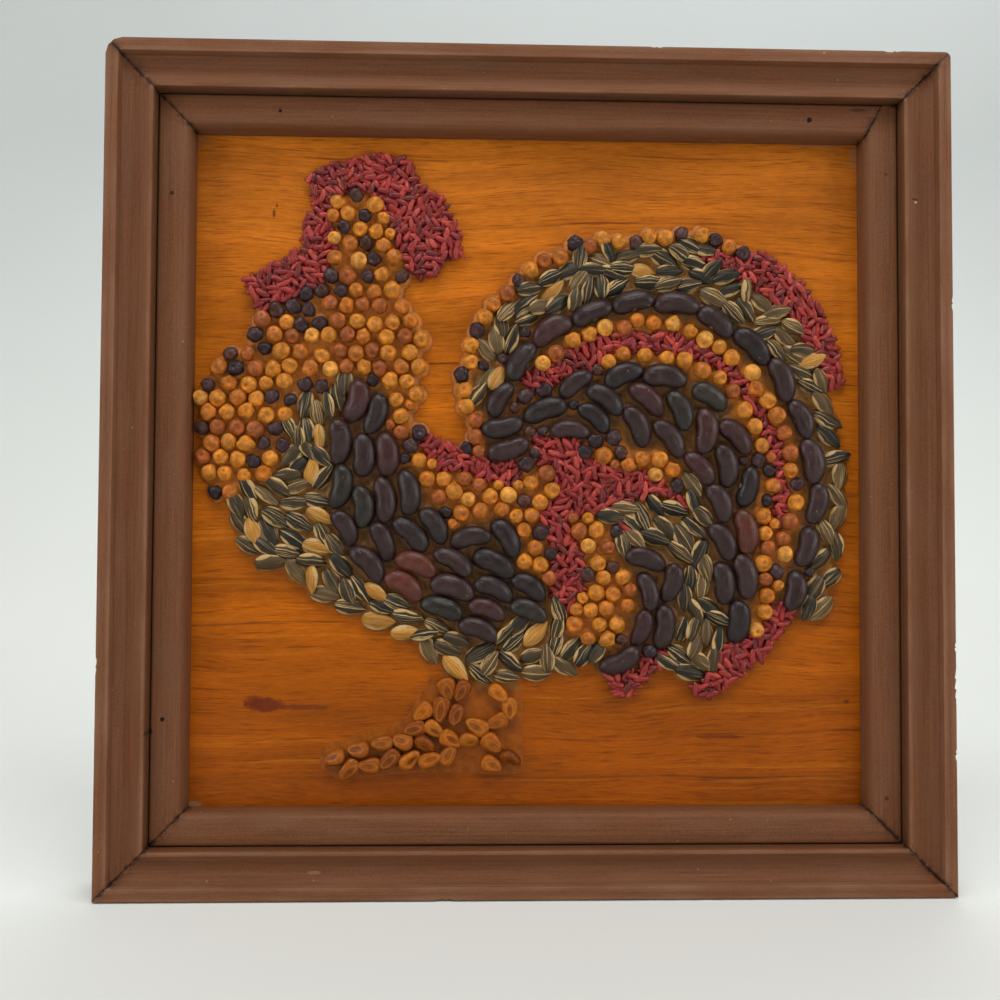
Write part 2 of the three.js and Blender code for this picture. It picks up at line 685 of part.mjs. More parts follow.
    name: 'saddle_rice',
    rice: true,
    outline: [[-41, 13], [-33, 10], [-20, 5], [-10, 2], [-5, 4], [-4, -4], [-12, -9], [-22, -4], [-34, -2], [-42, 6]],
  },
  {
    name: 'tail_rice_band',
    rice: true,
    outline: band(
      [[-2, 33], [12, 41], [28, 47], [48, 48], [64, 44], [76, 36], [85, 23], [92, 8], [94, -8], [92, -24]],
      [8, 14, 13, 11, 11, 11, 11, 12, 12, 10],
    ),
  },
  {
    name: 'tail_root_rice',
    rice: true,
    outline: [
      [1, 13], [17, 13], [21, 8], [31, 4], [44, 0], [54, -5], [64, -14], [50, -12], [36, -12], [39, -24],
      [26, -19], [24, -44], [17, -55], [6, -48], [4, -12], [5, 0],
    ],
  },
  {
    name: 'tail_crescent_rice',
    rice: true,
    outline: [
      [64, 80], [74, 82], [88, 81], [99, 73], [108, 62], [114, 48], [117, 33], [110, 32], [102, 49], [89, 64],
      [76, 73],
    ],
  },
  {
    name: 'plume_tip_rice',
    rice: true,
    outline: [[29, -76], [41, -75], [42, -70], [52, -66], [52, -69], [45, -75], [37, -83], [33, -83]],
  },
  {
    name: 'tail_tip_rice',
    rice: true,
    outline: [
      [64, -79], [69, -72], [73, -65], [80, -64], [84, -61], [91, -50], [99, -47], [97, -55], [88, -68], [76, -77],
      [67, -84], [61, -81],
    ],
  },
];

function seedsOf(bed, barriers, random) {
  if (bed.rice) return [];
  const items = bed.peas ? fillWithPeas(bed, barriers, random) : [];
  for (const row of bed.rows ?? []) {
    const laid = layRow({ seed: bed.seed, ...row }, random);
    for (const place of row.dark ?? []) laid[place].seed = DARK_PEA;
    items.push(...laid);
  }
  settle(items, bed.outline, barriers);
  return withoutCrowding(items);
}

function largestPart(solid) {
  const parts = solid.decompose();
  return parts.reduce((best, part) => (part.volume() > best.volume() ? part : best));
}

function colourOf(bed) {
  if (bed.rice) return COLOURS.rice;
  if (bed.seed === BEAN) return COLOURS.bean;
  if (bed.seed === SUNFLOWER) return COLOURS.sunflower;
  return bed.seed === KERNEL ? COLOURS.kernel : COLOURS.pea;
}

function makeMosaic() {
  const group = new THREE.Group();
  const random = makeRandom(7);
  const laid = [];
  for (const bed of BEDS) {
    const barriers = laid.map((outline) => grow(outline, GAP));
    let solid = toSolid(prism(bed.outline, bed.rice ? RICE_HEIGHT : GLUE_THICKNESS));
    for (const item of seedsOf(bed, barriers, random)) solid = solid.add(seedSolid(item));
    solid = solid.intersect(cutterOf(bed.outline));
    for (const barrier of barriers) solid = solid.subtract(cutterOf(barrier));
    group.add(makeMesh(bed.name, toGeometry(largestPart(solid)), colourOf(bed), 0.45));
    laid.push(bed.outline);
  }
  group.position.y = BOARD_FRONT_DEPTH - PANEL_DEPTH;
  return group;
}

const panel = new THREE.Group();
panel.add(makeFrame(), makeBoard(), makeMosaic());
panel.position.z = MOUNT_INSET - HALF_PANEL;

export default panel;
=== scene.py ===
"""A framed picture of a rooster laid in dried seeds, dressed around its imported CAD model.

Metres, +Z up. The panel hangs on the wall plane y = 0 and its picture faces -Y. Places on the
picture are worked out in millimetres as (x, z, height): x and z from the board's centre, and
the height in front of the board's face. Each seed takes its place and heading from the faceted
seeds of the CAD beds, is settled against its neighbours at its full size, and small gaps
between the beds are then filled up.
"""
import math

import bpy
import numpy as np
from mathutils import Matrix, Vector


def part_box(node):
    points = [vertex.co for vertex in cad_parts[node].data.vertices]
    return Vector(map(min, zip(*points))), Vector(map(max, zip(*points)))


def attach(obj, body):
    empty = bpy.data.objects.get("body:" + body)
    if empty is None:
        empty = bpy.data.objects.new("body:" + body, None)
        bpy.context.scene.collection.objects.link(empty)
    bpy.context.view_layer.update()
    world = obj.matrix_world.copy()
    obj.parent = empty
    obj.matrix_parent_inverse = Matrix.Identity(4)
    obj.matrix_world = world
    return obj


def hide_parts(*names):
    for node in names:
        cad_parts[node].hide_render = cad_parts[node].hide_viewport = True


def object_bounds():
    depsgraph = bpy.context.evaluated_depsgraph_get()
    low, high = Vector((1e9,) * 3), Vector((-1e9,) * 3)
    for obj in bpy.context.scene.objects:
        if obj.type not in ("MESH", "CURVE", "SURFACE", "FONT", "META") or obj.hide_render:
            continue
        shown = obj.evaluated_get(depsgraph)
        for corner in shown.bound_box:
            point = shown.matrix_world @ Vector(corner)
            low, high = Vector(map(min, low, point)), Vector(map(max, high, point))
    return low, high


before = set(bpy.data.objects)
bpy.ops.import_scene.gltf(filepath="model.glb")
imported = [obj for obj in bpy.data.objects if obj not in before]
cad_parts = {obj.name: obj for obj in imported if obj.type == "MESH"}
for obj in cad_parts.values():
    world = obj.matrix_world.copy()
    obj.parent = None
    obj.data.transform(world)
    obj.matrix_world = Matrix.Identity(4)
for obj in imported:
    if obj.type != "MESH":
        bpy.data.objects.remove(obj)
cad_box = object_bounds()

MM = 0.001
board_low, board_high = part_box("board")
BOARD_FRONT = board_low.y
BOARD_MIDDLE = (board_low.z + board_high.z) / 2
panel_low, panel_high = cad_box
HALF_PANEL = (panel_high.x - panel_low.x) / 2 / MM
PANEL_DEPTH = (panel_high.y - panel_low.y) / MM
FRONT_HEIGHT = (BOARD_FRONT - panel_low.y) / MM

# Seeds: length, width and height in millimetres. cad_length is the length of the faceted seed,
# level the height that only the top of such a seed passes, and tops how many points lie there.
KINDS = {
    "bean": {"size": (16.2, 8.7, 6.2), "cad_length": 14.5, "level": 4.3, "tops": 3},
    "sunflower": {"size": (12.0, 6.3, 3.8), "cad_length": 10.9, "level": 2.7, "tops": 2},
    "kernel": {"size": (8.8, 6.5, 4.2), "cad_length": 7.5, "level": 3.2, "tops": 3},
    "pea": {"size": (6.1, 6.1, 5.3), "cad_length": 5.5, "level": 3.2, "tops": 3},
    "rice": {"size": (5.7, 2.15, 1.9)},
}
BEDS = {
    "bean": ["wing_beans", "tail_outer_beans", "tail_inner_beans", "plume_beans"],
    "sunflower": ["breast_sunflower_seeds", "tail_sunflower_seeds", "plume_sunflower_seeds"],
    "kernel": ["leg_kernels"],
    "pea": ["tail_border_peas", "tail_outer_peas", "tail_inner_peas", "head_and_neck_peas",
            "saddle_peas", "tail_fan_peas", "tail_root_peas"],
    "rice": ["comb_rice", "saddle_rice", "tail_rice_band", "tail_root_rice",
             "tail_crescent_rice", "plume_tip_rice", "tail_tip_rice"],
}
# A pea whose CAD seed stays below this height is a dark one, smaller and flatter than the rest
DARK_PEA_TOP = 4.4
DARK_PEA_SIZE = 0.92
DARK_PEA_HEIGHT = 0.85
# Heights that only the tops of the rice slabs and of the legs' film pass
RICE_LEVEL = 1.5
LEG_FILM_LEVEL = 0.5

random = np.random.default_rng(11)


def srgb(red, green, blue):
    """A colour given as 0 to 255 per channel, as linear light."""
    parts = np.array([red, green, blue]) / 255
    return tuple(np.where(parts <= 0.04045, parts / 12.92, ((parts + 0.055) / 1.055) ** 2.4))


# Reading the CAD beds

def node_points(node):
    """A CAD node's points as millimetres (x, z, height), doubles merged, and its triangles."""
    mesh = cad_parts[node].data
    mesh.calc_loop_triangles()
    places = np.empty(len(mesh.vertices) * 3)
    mesh.vertices.foreach_get("co", places)
    places = places.reshape(-1, 3) / MM
    flat = np.stack([
        places[:, 0],
        places[:, 2] - BOARD_MIDDLE / MM,
        BOARD_FRONT / MM - places[:, 1],
    ], axis=1)
    merged, index = np.unique(np.round(flat, 2), axis=0, return_inverse=True)
    triangles = np.empty(len(mesh.loop_triangles) * 3, int)
    mesh.loop_triangles.foreach_get("vertices", triangles)
    return merged, index.reshape(-1)[triangles].reshape(-1, 3)


def linked_groups(points, triangles, level):
    """Groups of points above a level that edges join."""
    parent = list(range(len(points)))

    def root(i):
        while parent[i] != i:
            parent[i] = parent[parent[i]]
            i = parent[i]
        return i

    high = points[:, 2] > level
    for side in ([0, 1], [1, 2], [2, 0]):
        edges = triangles[:, side]
        for a, b in edges[high[edges].all(axis=1)]:
            parent[root(a)] = root(b)
    groups = {}
    for i in np.flatnonzero(high):
        groups.setdefault(root(i), []).append(i)
    return [points[members] for members in groups.values()]


# The tops of a CAD seed span this many of its half lengths
BACK_SPAN = {"bean": 1.12, "sunflower": 0.8, "kernel": 0.9}
# Where a sunflower seed's middle lies between its high top and its low one
SUNFLOWER_MIDDLE = 0.625


def bean_place(back):
    """Centre, heading and half length from the three points along a bean's back."""
    gaps = np.linalg.norm(back[:, None, :2] - back[None, :, :2], axis=2)
    first, last = np.unravel_index(gaps.argmax(), gaps.shape)
    crest = back[np.setdiff1d(np.arange(len(back)), [first, last])].mean(axis=0)
    middle = (back[first, :2] + back[last, :2]) / 2
    along = back[last, :2] - back[first, :2]
    to_crest = crest[:2] - middle
    if along[0] * to_crest[1] - along[1] * to_crest[0] < 0:
        along = -along
    return middle, along, np.linalg.norm(along) / BACK_SPAN["bean"]


def sunflower_place(back):
    """The tip of a sunflower seed lies past the lower end of its back."""
    order = back[:, 2].argsort()
    low, high = back[order[0], :2], back[order[-1], :2]
    half = np.linalg.norm(low - high) / BACK_SPAN["sunflower"]
    return high + (low - high) * SUNFLOWER_MIDDLE, low - high, half


def kernel_place(back):
    """The tip of a maize kernel lies past the lowest point of its back."""
    order = back[:, 2].argsort()
    low, crown = back[order[0], :2], back[order[1:], :2].mean(axis=0)
    return (low + crown) / 2, low - crown, np.linalg.norm(low - crown) / BACK_SPAN["kernel"]


def pea_place(back):
    """A pea is round, so its heading is anyhow."""
    turn = random.uniform(0, 2 * math.pi)
    return back[:, :2].mean(axis=0), (math.cos(turn), math.sin(turn)), KINDS["pea"]["cad_length"] / 2


PLACE_OF = {
    "bean": bean_place,
    "sunflower": sunflower_place,
    "kernel": kernel_place,
    "pea": pea_place,
}
# How far each kind is turned and moved by the hand that laid it, and how much sizes differ
HAND = {
    "bean": {"turn": 0.14, "shift": 0.4, "size": (0.94, 1.06)},
    "sunflower": {"turn": 0.42, "shift": 0.6, "size": (0.88, 1.08)},
    "kernel": {"turn": 0.35, "shift": 0.3, "size": (0.92, 1.1)},
    "pea": {"turn": 0.0, "shift": 0.75, "size": (0.9, 1.08)},
}
# Limits on how far a seed's length in the CAD bed scales the seed
LENGTH_LIMITS = (0.88, 1.08)
MOST_LIFT = 0.35


def new_seed(kind, bed, centre, heading, scale, dark=False):
    """A seed on the board, lifted a little by the glue."""
    return {
        "kind": kind, "bed": bed, "dark": dark, "centre": np.array(centre, float),
        "heading": heading, "scale": scale, "lift": random.uniform(0.0, MOST_LIFT),
    }


def read_seeds():
    """Every seed of the CAD beds, a little off its place, as if laid by hand."""
    seeds = []
    for kind, place_of in PLACE_OF.items():
        facts, hand = KINDS[kind], HAND[kind]
        for bed in BEDS[kind]:
            points, triangles = node_points(bed)
            groups = linked_groups(points, triangles, facts["level"])
            backs = [group for group in groups if len(group) >= facts["tops"]]
            for back in sorted(backs, key=lambda tops: tuple(np.round(tops.mean(axis=0), 1))):
                centre, along, half = place_of(back)
                centre = centre + random.normal(0, hand["shift"], 2)
                heading = math.atan2(along[1], along[0]) + random.normal(0, hand["turn"])
                scale = np.clip(half / (facts["cad_length"] / 2), *LENGTH_LIMITS)
                scale *= random.uniform(*hand["size"])
                dark = kind == "pea" and back[:, 2].max() < DARK_PEA_TOP
                if dark:
                    scale *= DARK_PEA_SIZE
                seeds.append(new_seed(kind, bed, centre, heading, scale, dark))
    return seeds


# Settling: each seed is one or more discs, and discs of two seeds push each other apart

# Discs of each kind: place along its half length and share of its half width
DISCS = {
    "bean": ((-0.48, 0.97), (0.0, 1.0), (0.48, 0.97)),
    "sunflower": ((-0.42, 0.8), (0.0, 0.95), (0.45, 0.55)),
    "kernel": ((-0.2, 0.95), (0.3, 0.7)),
    "pea": ((0.0, 1.0),),
}
SETTLE_ROUNDS = 70
# How far seeds may overlap, and how strongly they are pushed, turned and drawn home
SETTLE_ALLOWED = {"bean": 0.3, "sunflower": 0.7, "kernel": 0.2, "pea": 0.15}
PUSH = 0.4
LONGEST_MOVE = 0.5
TURN_RESISTANCE = 40
MOST_TURN = 0.05
HOME_PULL = 0.03


def discs_of(seeds):
    """Centres, radii and owners of the discs that seeds cover."""
    centres, radii, owners = [], [], []
    for index, seed in enumerate(seeds):
        length, width, _ = KINDS[seed["kind"]]["size"]
        along = np.array([math.cos(seed["heading"]), math.sin(seed["heading"])])
        for place, share in DISCS[seed["kind"]]:
            centres.append(seed["centre"] + along * place * length / 2 * seed["scale"])
            radii.append(width / 2 * share * seed["scale"])
            owners.append(index)
    return np.array(centres), np.array(radii), np.array(owners)


def settle(seeds):
    """Moves and turns overlapping seeds apart, while each is drawn back to its own place."""
    homes = np.array([seed["centre"] for seed in seeds])
    allowed = np.array([SETTLE_ALLOWED[seed["kind"]] for seed in seeds])
    for _ in range(SETTLE_ROUNDS):
        centres, radii, owners = discs_of(seeds)
        apart = centres[:, None] - centres[None]
        gap = np.hypot(apart[..., 0], apart[..., 1])
        slack = allowed[owners]
        reach = radii[:, None] + radii[None] - np.minimum(slack[:, None], slack[None])
        overlap = np.where(owners[:, None] != owners[None], reach - gap, 0)
        first, second = np.nonzero(overlap > 0)
        away = apart[first, second] / (gap[first, second, None] + 1e-6)
        push = away * overlap[first, second, None] * PUSH
        moves, turns = np.zeros_like(homes), np.zeros(len(seeds))
        np.add.at(moves, owners[first], push)
        arm = centres[first] - np.array([seeds[i]["centre"] for i in owners[first]])
        twist = arm[:, 0] * push[:, 1] - arm[:, 1] * push[:, 0]
        np.add.at(turns, owners[first], twist / TURN_RESISTANCE)
        for seed, home, move, turn in zip(seeds, homes, moves, turns):
            size = max(1.0, np.linalg.norm(move) / LONGEST_MOVE)
            seed["centre"] = seed["centre"] + move / size + (home - seed["centre"]) * HOME_PULL
            seed["heading"] += np.clip(turn, -MOST_TURN, MOST_TURN)


# A map of the picture in small cells: how far each cell is from the nearest seed, and which

CELL = 0.6
HALF_MAP = 126.0
FAR = 99.0
# How far round a disc the map is brought up to date
DISC_WINDOW = 9
axis = np.arange(-HALF_MAP, HALF_MAP + CELL, CELL)
map_x, map_z = np.meshgrid(axis, axis, indexing="ij")
map_gap = np.full(map_x.shape, FAR)
map_owner = np.full(map_x.shape, -1)
map_rice = np.zeros(map_x.shape, bool)


def window_of(low, high):
    """The part of the map between two corners."""
    first, last = np.searchsorted(axis, low), np.searchsorted(axis, high)
    return slice(first[0], last[0]), slice(first[1], last[1])


def mark_disc(centre, radius, owner):
    """Takes one disc into the map."""
    window = window_of(centre - radius - DISC_WINDOW, centre + radius + DISC_WINDOW)
    gap = np.hypot(map_x[window] - centre[0], map_z[window] - centre[1]) - radius
    closer = gap < map_gap[window]
    map_gap[window] = np.where(closer, gap, map_gap[window])
    map_owner[window] = np.where(closer, owner, map_owner[window])


def flat_triangles(node, level):
    """The corners (x, z) of a bed's triangles that lie wholly above a level."""
    points, triangles = node_points(node)
    return points[triangles[(points[triangles][:, :, 2] > level).all(axis=1)]][:, :, :2]


def covered_by(node, level):
    """The cells that a bed's triangles above a level cover."""
    mask = np.zeros(map_x.shape, bool)
    for a, b, c in flat_triangles(node, level):
        window = window_of(np.minimum(np.minimum(a, b), c), np.maximum(np.maximum(a, b), c))
        x, z = map_x[window], map_z[window]
        sides = np.array([(q[0] - p[0]) * (z - p[1]) - (q[1] - p[1]) * (x - p[0])
                          for p, q in ((a, b), (b, c), (c, a))])
        mask[window] |= (sides >= 0).all(axis=0) | (sides <= 0).all(axis=0)
    return mask


def grown(mask, reach):
    """A mask grown by a reach in millimetres."""
    steps = int(reach / CELL)
    result = np.zeros_like(mask)
    for i in range(-steps, steps + 1):
        for j in range(-steps, steps + 1):
            if math.hypot(i, j) * CELL <= reach:
                result |= np.roll(mask, (i, j), (0, 1))
    return result


def filled_shape(reach):
    """The picture's outline with gaps closed that a disc of this radius can't enter."""
    far = (map_gap >= reach) & ~grown(map_rice, reach)
    return ~grown(far, reach)


# Gaps narrower than twice the reach are filled, except near the picture's outline
FILL_REACH = 5.2
FILL_MARGIN = 2.3
# What is tried in a gap, in order: the kind and the radius that it needs
FITS = (("sunflower", 1.9), ("pea", 2.9), ("pea", 2.65), ("pea", 2.4), ("pea", 2.1), ("pea", 1.9))
FULL_PEA_RADIUS = 2.85
# Share of a radius that may lie over the rice, and how near to its kind a sunflower seed is added
RICE_MARGIN = 0.7
AMONG_REACH = 3.2
ADDED_SUNFLOWER = {"turn": 0.4, "size": 0.92, "lift": (0.9, 1.3)}
DARK_SHARE = 0.2


def fill_gaps(seeds):
    """Adds sunflower seeds among sunflower seeds, and peas elsewhere, where a gap is left open."""
    within = ~grown(~filled_shape(FILL_REACH), FILL_MARGIN)
    shaken = random.uniform(0, 0.1, map_gap.shape)
    for kind, radius in FITS:
        clear = within & ~grown(map_rice, radius * RICE_MARGIN)
        while True:
            open_cells = clear & (map_gap >= radius)
            if kind == "sunflower":
                among = [i for i, seed in enumerate(seeds) if seed["kind"] == "sunflower"]
                open_cells &= np.isin(map_owner, among) & (map_gap < AMONG_REACH)
            if not open_cells.any():
                break
            nearest = np.where(open_cells, map_gap + shaken, FAR).argmin()
            spot = np.unravel_index(nearest, map_gap.shape)
            centre = (map_x[spot], map_z[spot])
            beside = seeds[map_owner[spot]]
            if kind == "sunflower":
                heading = beside["heading"] + random.normal(0, ADDED_SUNFLOWER["turn"])
                seed = new_seed(kind, beside["bed"], centre, heading, ADDED_SUNFLOWER["size"])
                seed["lift"] = random.uniform(*ADDED_SUNFLOWER["lift"])
            else:
                heading = random.uniform(0, 2 * math.pi)
                dark = beside["kind"] == "bean" or random.uniform() < DARK_SHARE
                seed = new_seed(kind, "loose_peas", centre, heading, radius / FULL_PEA_RADIUS, dark)
            seeds.append(seed)
            for disc, disc_radius, _ in zip(*discs_of([seed])):
                mark_disc(disc, disc_radius, len(seeds) - 1)


# Forms of the seeds: each is its points, its faces and its points as shares of its half size

def ringed_body(stations, radii_of, around):
    """A closed body of rings along X. radii_of(u, turn) gives the offsets (y, z) at each turn."""
    turns = np.arange(around) * 2 * math.pi / around
    points = [(stations[0], *radii_of(stations[0], 0.0))]
    for u in stations[1:-1]:
        points += [(u, *radii_of(u, turn)) for turn in turns]
    points.append((stations[-1], *radii_of(stations[-1], 0.0)))
    rings = len(stations) - 2
    last = 1 + (rings - 1) * around
    faces = []
    for j in range(around):
        after = (j + 1) % around
        faces.append((0, 1 + after, 1 + j))
        for i in range(rings - 1):
            a, b = 1 + i * around, 1 + (i + 1) * around
            faces.append((a + j, a + after, b + after, b + j))
        faces.append((len(points) - 1, last + j, last + after))
    return np.array(points), faces


def spread(count):
    """Stations from -1 to 1, closer together near the ends."""
    return -np.cos(np.linspace(0, math.pi, count))


def lumps(seed, points, strength, fineness=1.0):
    """A gentle lumpy offset for points, from a few random waves."""
    waves = np.random.default_rng(seed)
    directions = waves.normal(size=(6, 3)) * fineness
    phases = waves.uniform(0, 2 * math.pi, 6)
    return strength * np.sin(points @ directions.T + phases).sum(axis=1) / 2.4


def finished(points, faces, kind, rise):
    """Scales a form's X to its half length and stands it on the board."""
    length, width, height = KINDS[kind]["size"]
    points[:, 0] *= length / 2
    local = points / (length / 2, width / 2, height / 2)
    points[:, 2] += height / 2 * rise
    return points, faces, local


def bean_form(variant):
    """A kidney bean on its side: bent, blunt at both ends, with a dent along its back."""
    _, width, height = KINDS["bean"]["size"]
    shape = np.random.default_rng(100 + variant)
    bend = shape.uniform(0.6, 1.3)
    crease = shape.uniform(-0.05, 0.4)
    taper = shape.uniform(-0.09, 0.09)
    blunt = shape.uniform(2.4, 3.0)

    def radii(u, turn):
        full = (1 - abs(u) ** blunt) ** (1 / 2.1) * (1 + taper * u)
        across, up = math.cos(turn), math.sin(turn)
        notch = 1 - 0.15 * math.exp(-(u / 0.3) ** 2) * max(0.0, -across) ** 2
        groove = crease * math.exp(-((across + 0.1) / 0.3) ** 2) * max(0.0, up) * (1 - u * u)
        side = width / 2 * 0.96 * full * across * notch + bend * (0.36 - u * u)
        return side, height / 2 * full * up - groove
    points, faces = ringed_body(spread(22), radii, 20)
    points[:, 2] += lumps(variant, points * (4, 0.6, 0.6), 0.12)
    return finished(points, faces, "bean", 0.94)


# Angles of a pea's rings from its pole, and the dimples and wrinkles of six styles of pea
PEA_RINGS = (0, 0.1, 0.2, 0.3, 0.4, 0.5, 0.62, 0.8, 1.05, 1.35, 1.7, 2.1, 2.6, math.pi)
PEA_DIMPLES = (0.6, 0.0, 0.75, 0.35, 0.65, 0.1)
PEA_WRINKLES = (0.04, 0.07, 0.05, 0.3, 0.04, 0.12)


def pea_form(variant):
    """A dried pea: a lumpy ball, its pole often sunk in a ringed dimple, turned to lie anyhow."""
    radius = KINDS["pea"]["size"][0] / 2
    shape = np.random.default_rng(200 + variant)
    style = variant % len(PEA_DIMPLES)
    dimple, wrinkle = PEA_DIMPLES[style], PEA_WRINKLES[style]
    wide = shape.uniform(0.22, 0.34)

    def radii(u, turn):
        full = math.sqrt(max(0.0, 1 - u * u))
        return full * math.cos(turn), full * math.sin(turn)
    local, faces = ringed_body(-np.cos(PEA_RINGS), radii, 16)
    angle = np.arccos(np.clip(-local[:, 0], -1, 1))
    lip = 0.35 * np.exp(-((angle - wide * 1.9) / 0.13) ** 2)
    hollow = dimple * (np.exp(-(angle / wide) ** 2) - lip)
    swell = 1 + lumps(300 + variant, local, wrinkle, 2.6) * 0.5
    tilt, facing = shape.uniform(0.0, 0.75), shape.uniform(0, 2 * math.pi)
    turn = Matrix.Rotation(facing, 3, "Z") @ Matrix.Rotation(math.pi / 2 - tilt, 3, "Y")
    points = (local * (swell - hollow / radius)[:, None] * radius) @ np.array(turn).T
    points[:, 2] = points[:, 2] * 0.92 + radius * 0.82
    return points, faces, local


def sunflower_form(variant):
    """A sunflower seed on its flat side: a pointed, lens-shaped husk with a low keel."""
    _, width, height = KINDS["sunflower"]["size"]
    shape = np.random.default_rng(400 + variant)
    plump = shape.uniform(0.75, 1.1)
    skew = shape.uniform(-0.4, 0.4)
    broad = shape.uniform(0.72, 0.86)
    keel_side = shape.uniform(-0.3, 0.3)

    def radii(u, turn):
        full = max(0.0, math.sin(math.pi * ((u + 1) / 2) ** broad)) ** 0.7
        across, up = math.cos(turn), math.sin(turn)
        keel = 0.22 * math.exp(-((across - keel_side) / 0.34) ** 2) * max(0.0, up)
        lens = math.copysign(abs(up) ** 1.25, up)
        side = width / 2 * full * across + skew * (u * u - 0.4)
        return side, height / 2 * full ** 0.9 * (lens * plump + keel)
    points, faces = ringed_body(spread(18), radii, 18)
    points[:, 2] += lumps(500 + variant, points * (5, 0.8, 0.8), 0.09)
    return finished(points, faces, "sunflower", 0.9)


def kernel_form(variant):
    """A maize kernel: a rounded tooth with a long hollow over the germ."""
    _, width, height = KINDS["kernel"]["size"]
    shape = np.random.default_rng(600 + variant)
    dent = shape.uniform(0.35, 1.0)
    narrow = shape.uniform(0.2, 0.34)
    long = shape.uniform(0.42, 0.6)

    def radii(u, turn):
        full = (1 - abs(u) ** 2.7) ** 0.5 * (0.9 - narrow * u)
        across, up = math.cos(turn), math.sin(turn)
        hollow = dent * math.exp(-(across / 0.34) ** 2 - (u / long) ** 4) * max(0.0, up)
        side = width / 2 * full * math.copysign(abs(across) ** 0.85, across)
        return side, height / 2 * full ** 0.7 * math.copysign(abs(up) ** 0.8, up) - hollow
    points, faces = ringed_body(spread(20), radii, 24)
    points[:, 2] += lumps(700 + variant, points * (4, 1, 1), 0.12)
    return finished(points, faces, "kernel", 0.88)


def rice_form(variant):
    """A grain of rice: plump, a little bent, one end blunter than the other."""
    _, width, height = KINDS["rice"]["size"]
    bend = np.random.default_rng(800 + variant).uniform(-0.3, 0.3)

    def radii(u, turn):
        full = (1 - abs(u) ** 3) ** 0.5 * (1 - 0.12 * u)
        side = width / 2 * full * math.cos(turn) + bend * (0.4 - u * u)
        return side, height / 2 * full * math.sin(turn)
    points, faces = ringed_body(spread(8), radii, 8)
    return finished(points, faces, "rice", 1.0)


FORMS = {
    "bean": [bean_form(variant) for variant in range(8)],
    "sunflower": [sunflower_form(variant) for variant in range(8)],
    "kernel": [kernel_form(variant) for variant in range(6)],
    "pea": [pea_form(variant) for variant in range(24)],
    "rice": [rice_form(variant) for variant in range(6)],
}
WRINKLED_PEAS = FORMS["pea"][PEA_WRINKLES.index(max(PEA_WRINKLES))::len(PEA_WRINKLES)]
# How far seeds of each kind lean over, in radians
LEAN = {"bean": 0.16, "sunflower": 0.28, "kernel": 0.3, "pea": 0.25, "rice": 0.35}
# Colours of each kind, the share of each colour, and how much one seed differs from the next
PALETTES = {
    "bean": ([srgb(46, 29, 28), srgb(37, 27, 27), srgb(56, 30, 29), srgb(39, 33, 27), srgb(84, 40, 28)],
             [0.44, 0.28, 0.21, 0.05, 0.02], 0.22),
    "sunflower": ([srgb(58, 46, 29), srgb(41, 35, 25), srgb(84, 65, 39), srgb(32, 30, 24),
                   srgb(164, 112, 42)], [0.34, 0.24, 0.22, 0.13, 0.07], 0.2),
    "kernel": ([srgb(146, 76, 12), srgb(162, 90, 20), srgb(122, 59, 10)], [0.5, 0.3, 0.2], 0.14),
    "pea": ([srgb(194, 120, 34), srgb(178, 102, 28), srgb(152, 80, 30), srgb(206, 140, 56)],
            [0.42, 0.3, 0.2, 0.08], 0.12),
    "dark_pea": ([srgb(58, 38, 40), srgb(46, 32, 36), srgb(72, 44, 36)], [0.5, 0.3, 0.2], 0.18),
    "rice": ([srgb(140, 38, 34), srgb(120, 30, 29), srgb(160, 56, 46), srgb(98, 26, 24)],
             [0.4, 0.26, 0.2, 0.14], 0.18),
}


def tint_for(name):
    """A colour from a palette, a little lighter or darker."""
    colours, weights, change = PALETTES[name]
    colour = np.array(colours[random.choice(len(colours), p=weights)])
    return np.clip(colour * random.uniform(1 - change, 1 + change), 0, 1)


# Meshes

def to_world(points):
    """Millimetres (x, z, height) to metres in the row's frame."""
    points = np.asarray(points, float)
    return np.stack([
        points[:, 0] * MM,
        BOARD_FRONT - points[:, 2] * MM,
        BOARD_MIDDLE + points[:, 1] * MM,
    ], axis=1)


def new_object(name, data):
    """An object of its own in the scene."""
    made = bpy.data.objects.new(name, data)
    bpy.context.scene.collection.objects.link(made)
    return made


def smooth_object(name, points, faces, material):
    """A smoothly shaded mesh of one material."""
    mesh = bpy.data.meshes.new(name)
    mesh.from_pydata(points, [], faces)
    mesh.polygons.foreach_set("use_smooth", [True] * len(mesh.polygons))
    mesh.materials.append(material)
    return new_object(name, mesh)


ATTRIBUTE_KEYS = {"FLOAT_VECTOR": "vector", "FLOAT_COLOR": "color"}


def build_piece(name, points, faces, material, nodes, attributes=()):
    """A piece that rides on the panel. attributes are (label, kind, values)."""
    piece = smooth_object(name, to_world(points).tolist(), faces, material)
    for label, kind, values in attributes:
        layer = piece.data.attributes.new(label, kind, "POINT")
        layer.data.foreach_set(ATTRIBUTE_KEYS[kind], np.asarray(values, np.float32).reshape(-1))
    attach(piece, "root")
    if nodes:
        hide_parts(*nodes)
    return piece


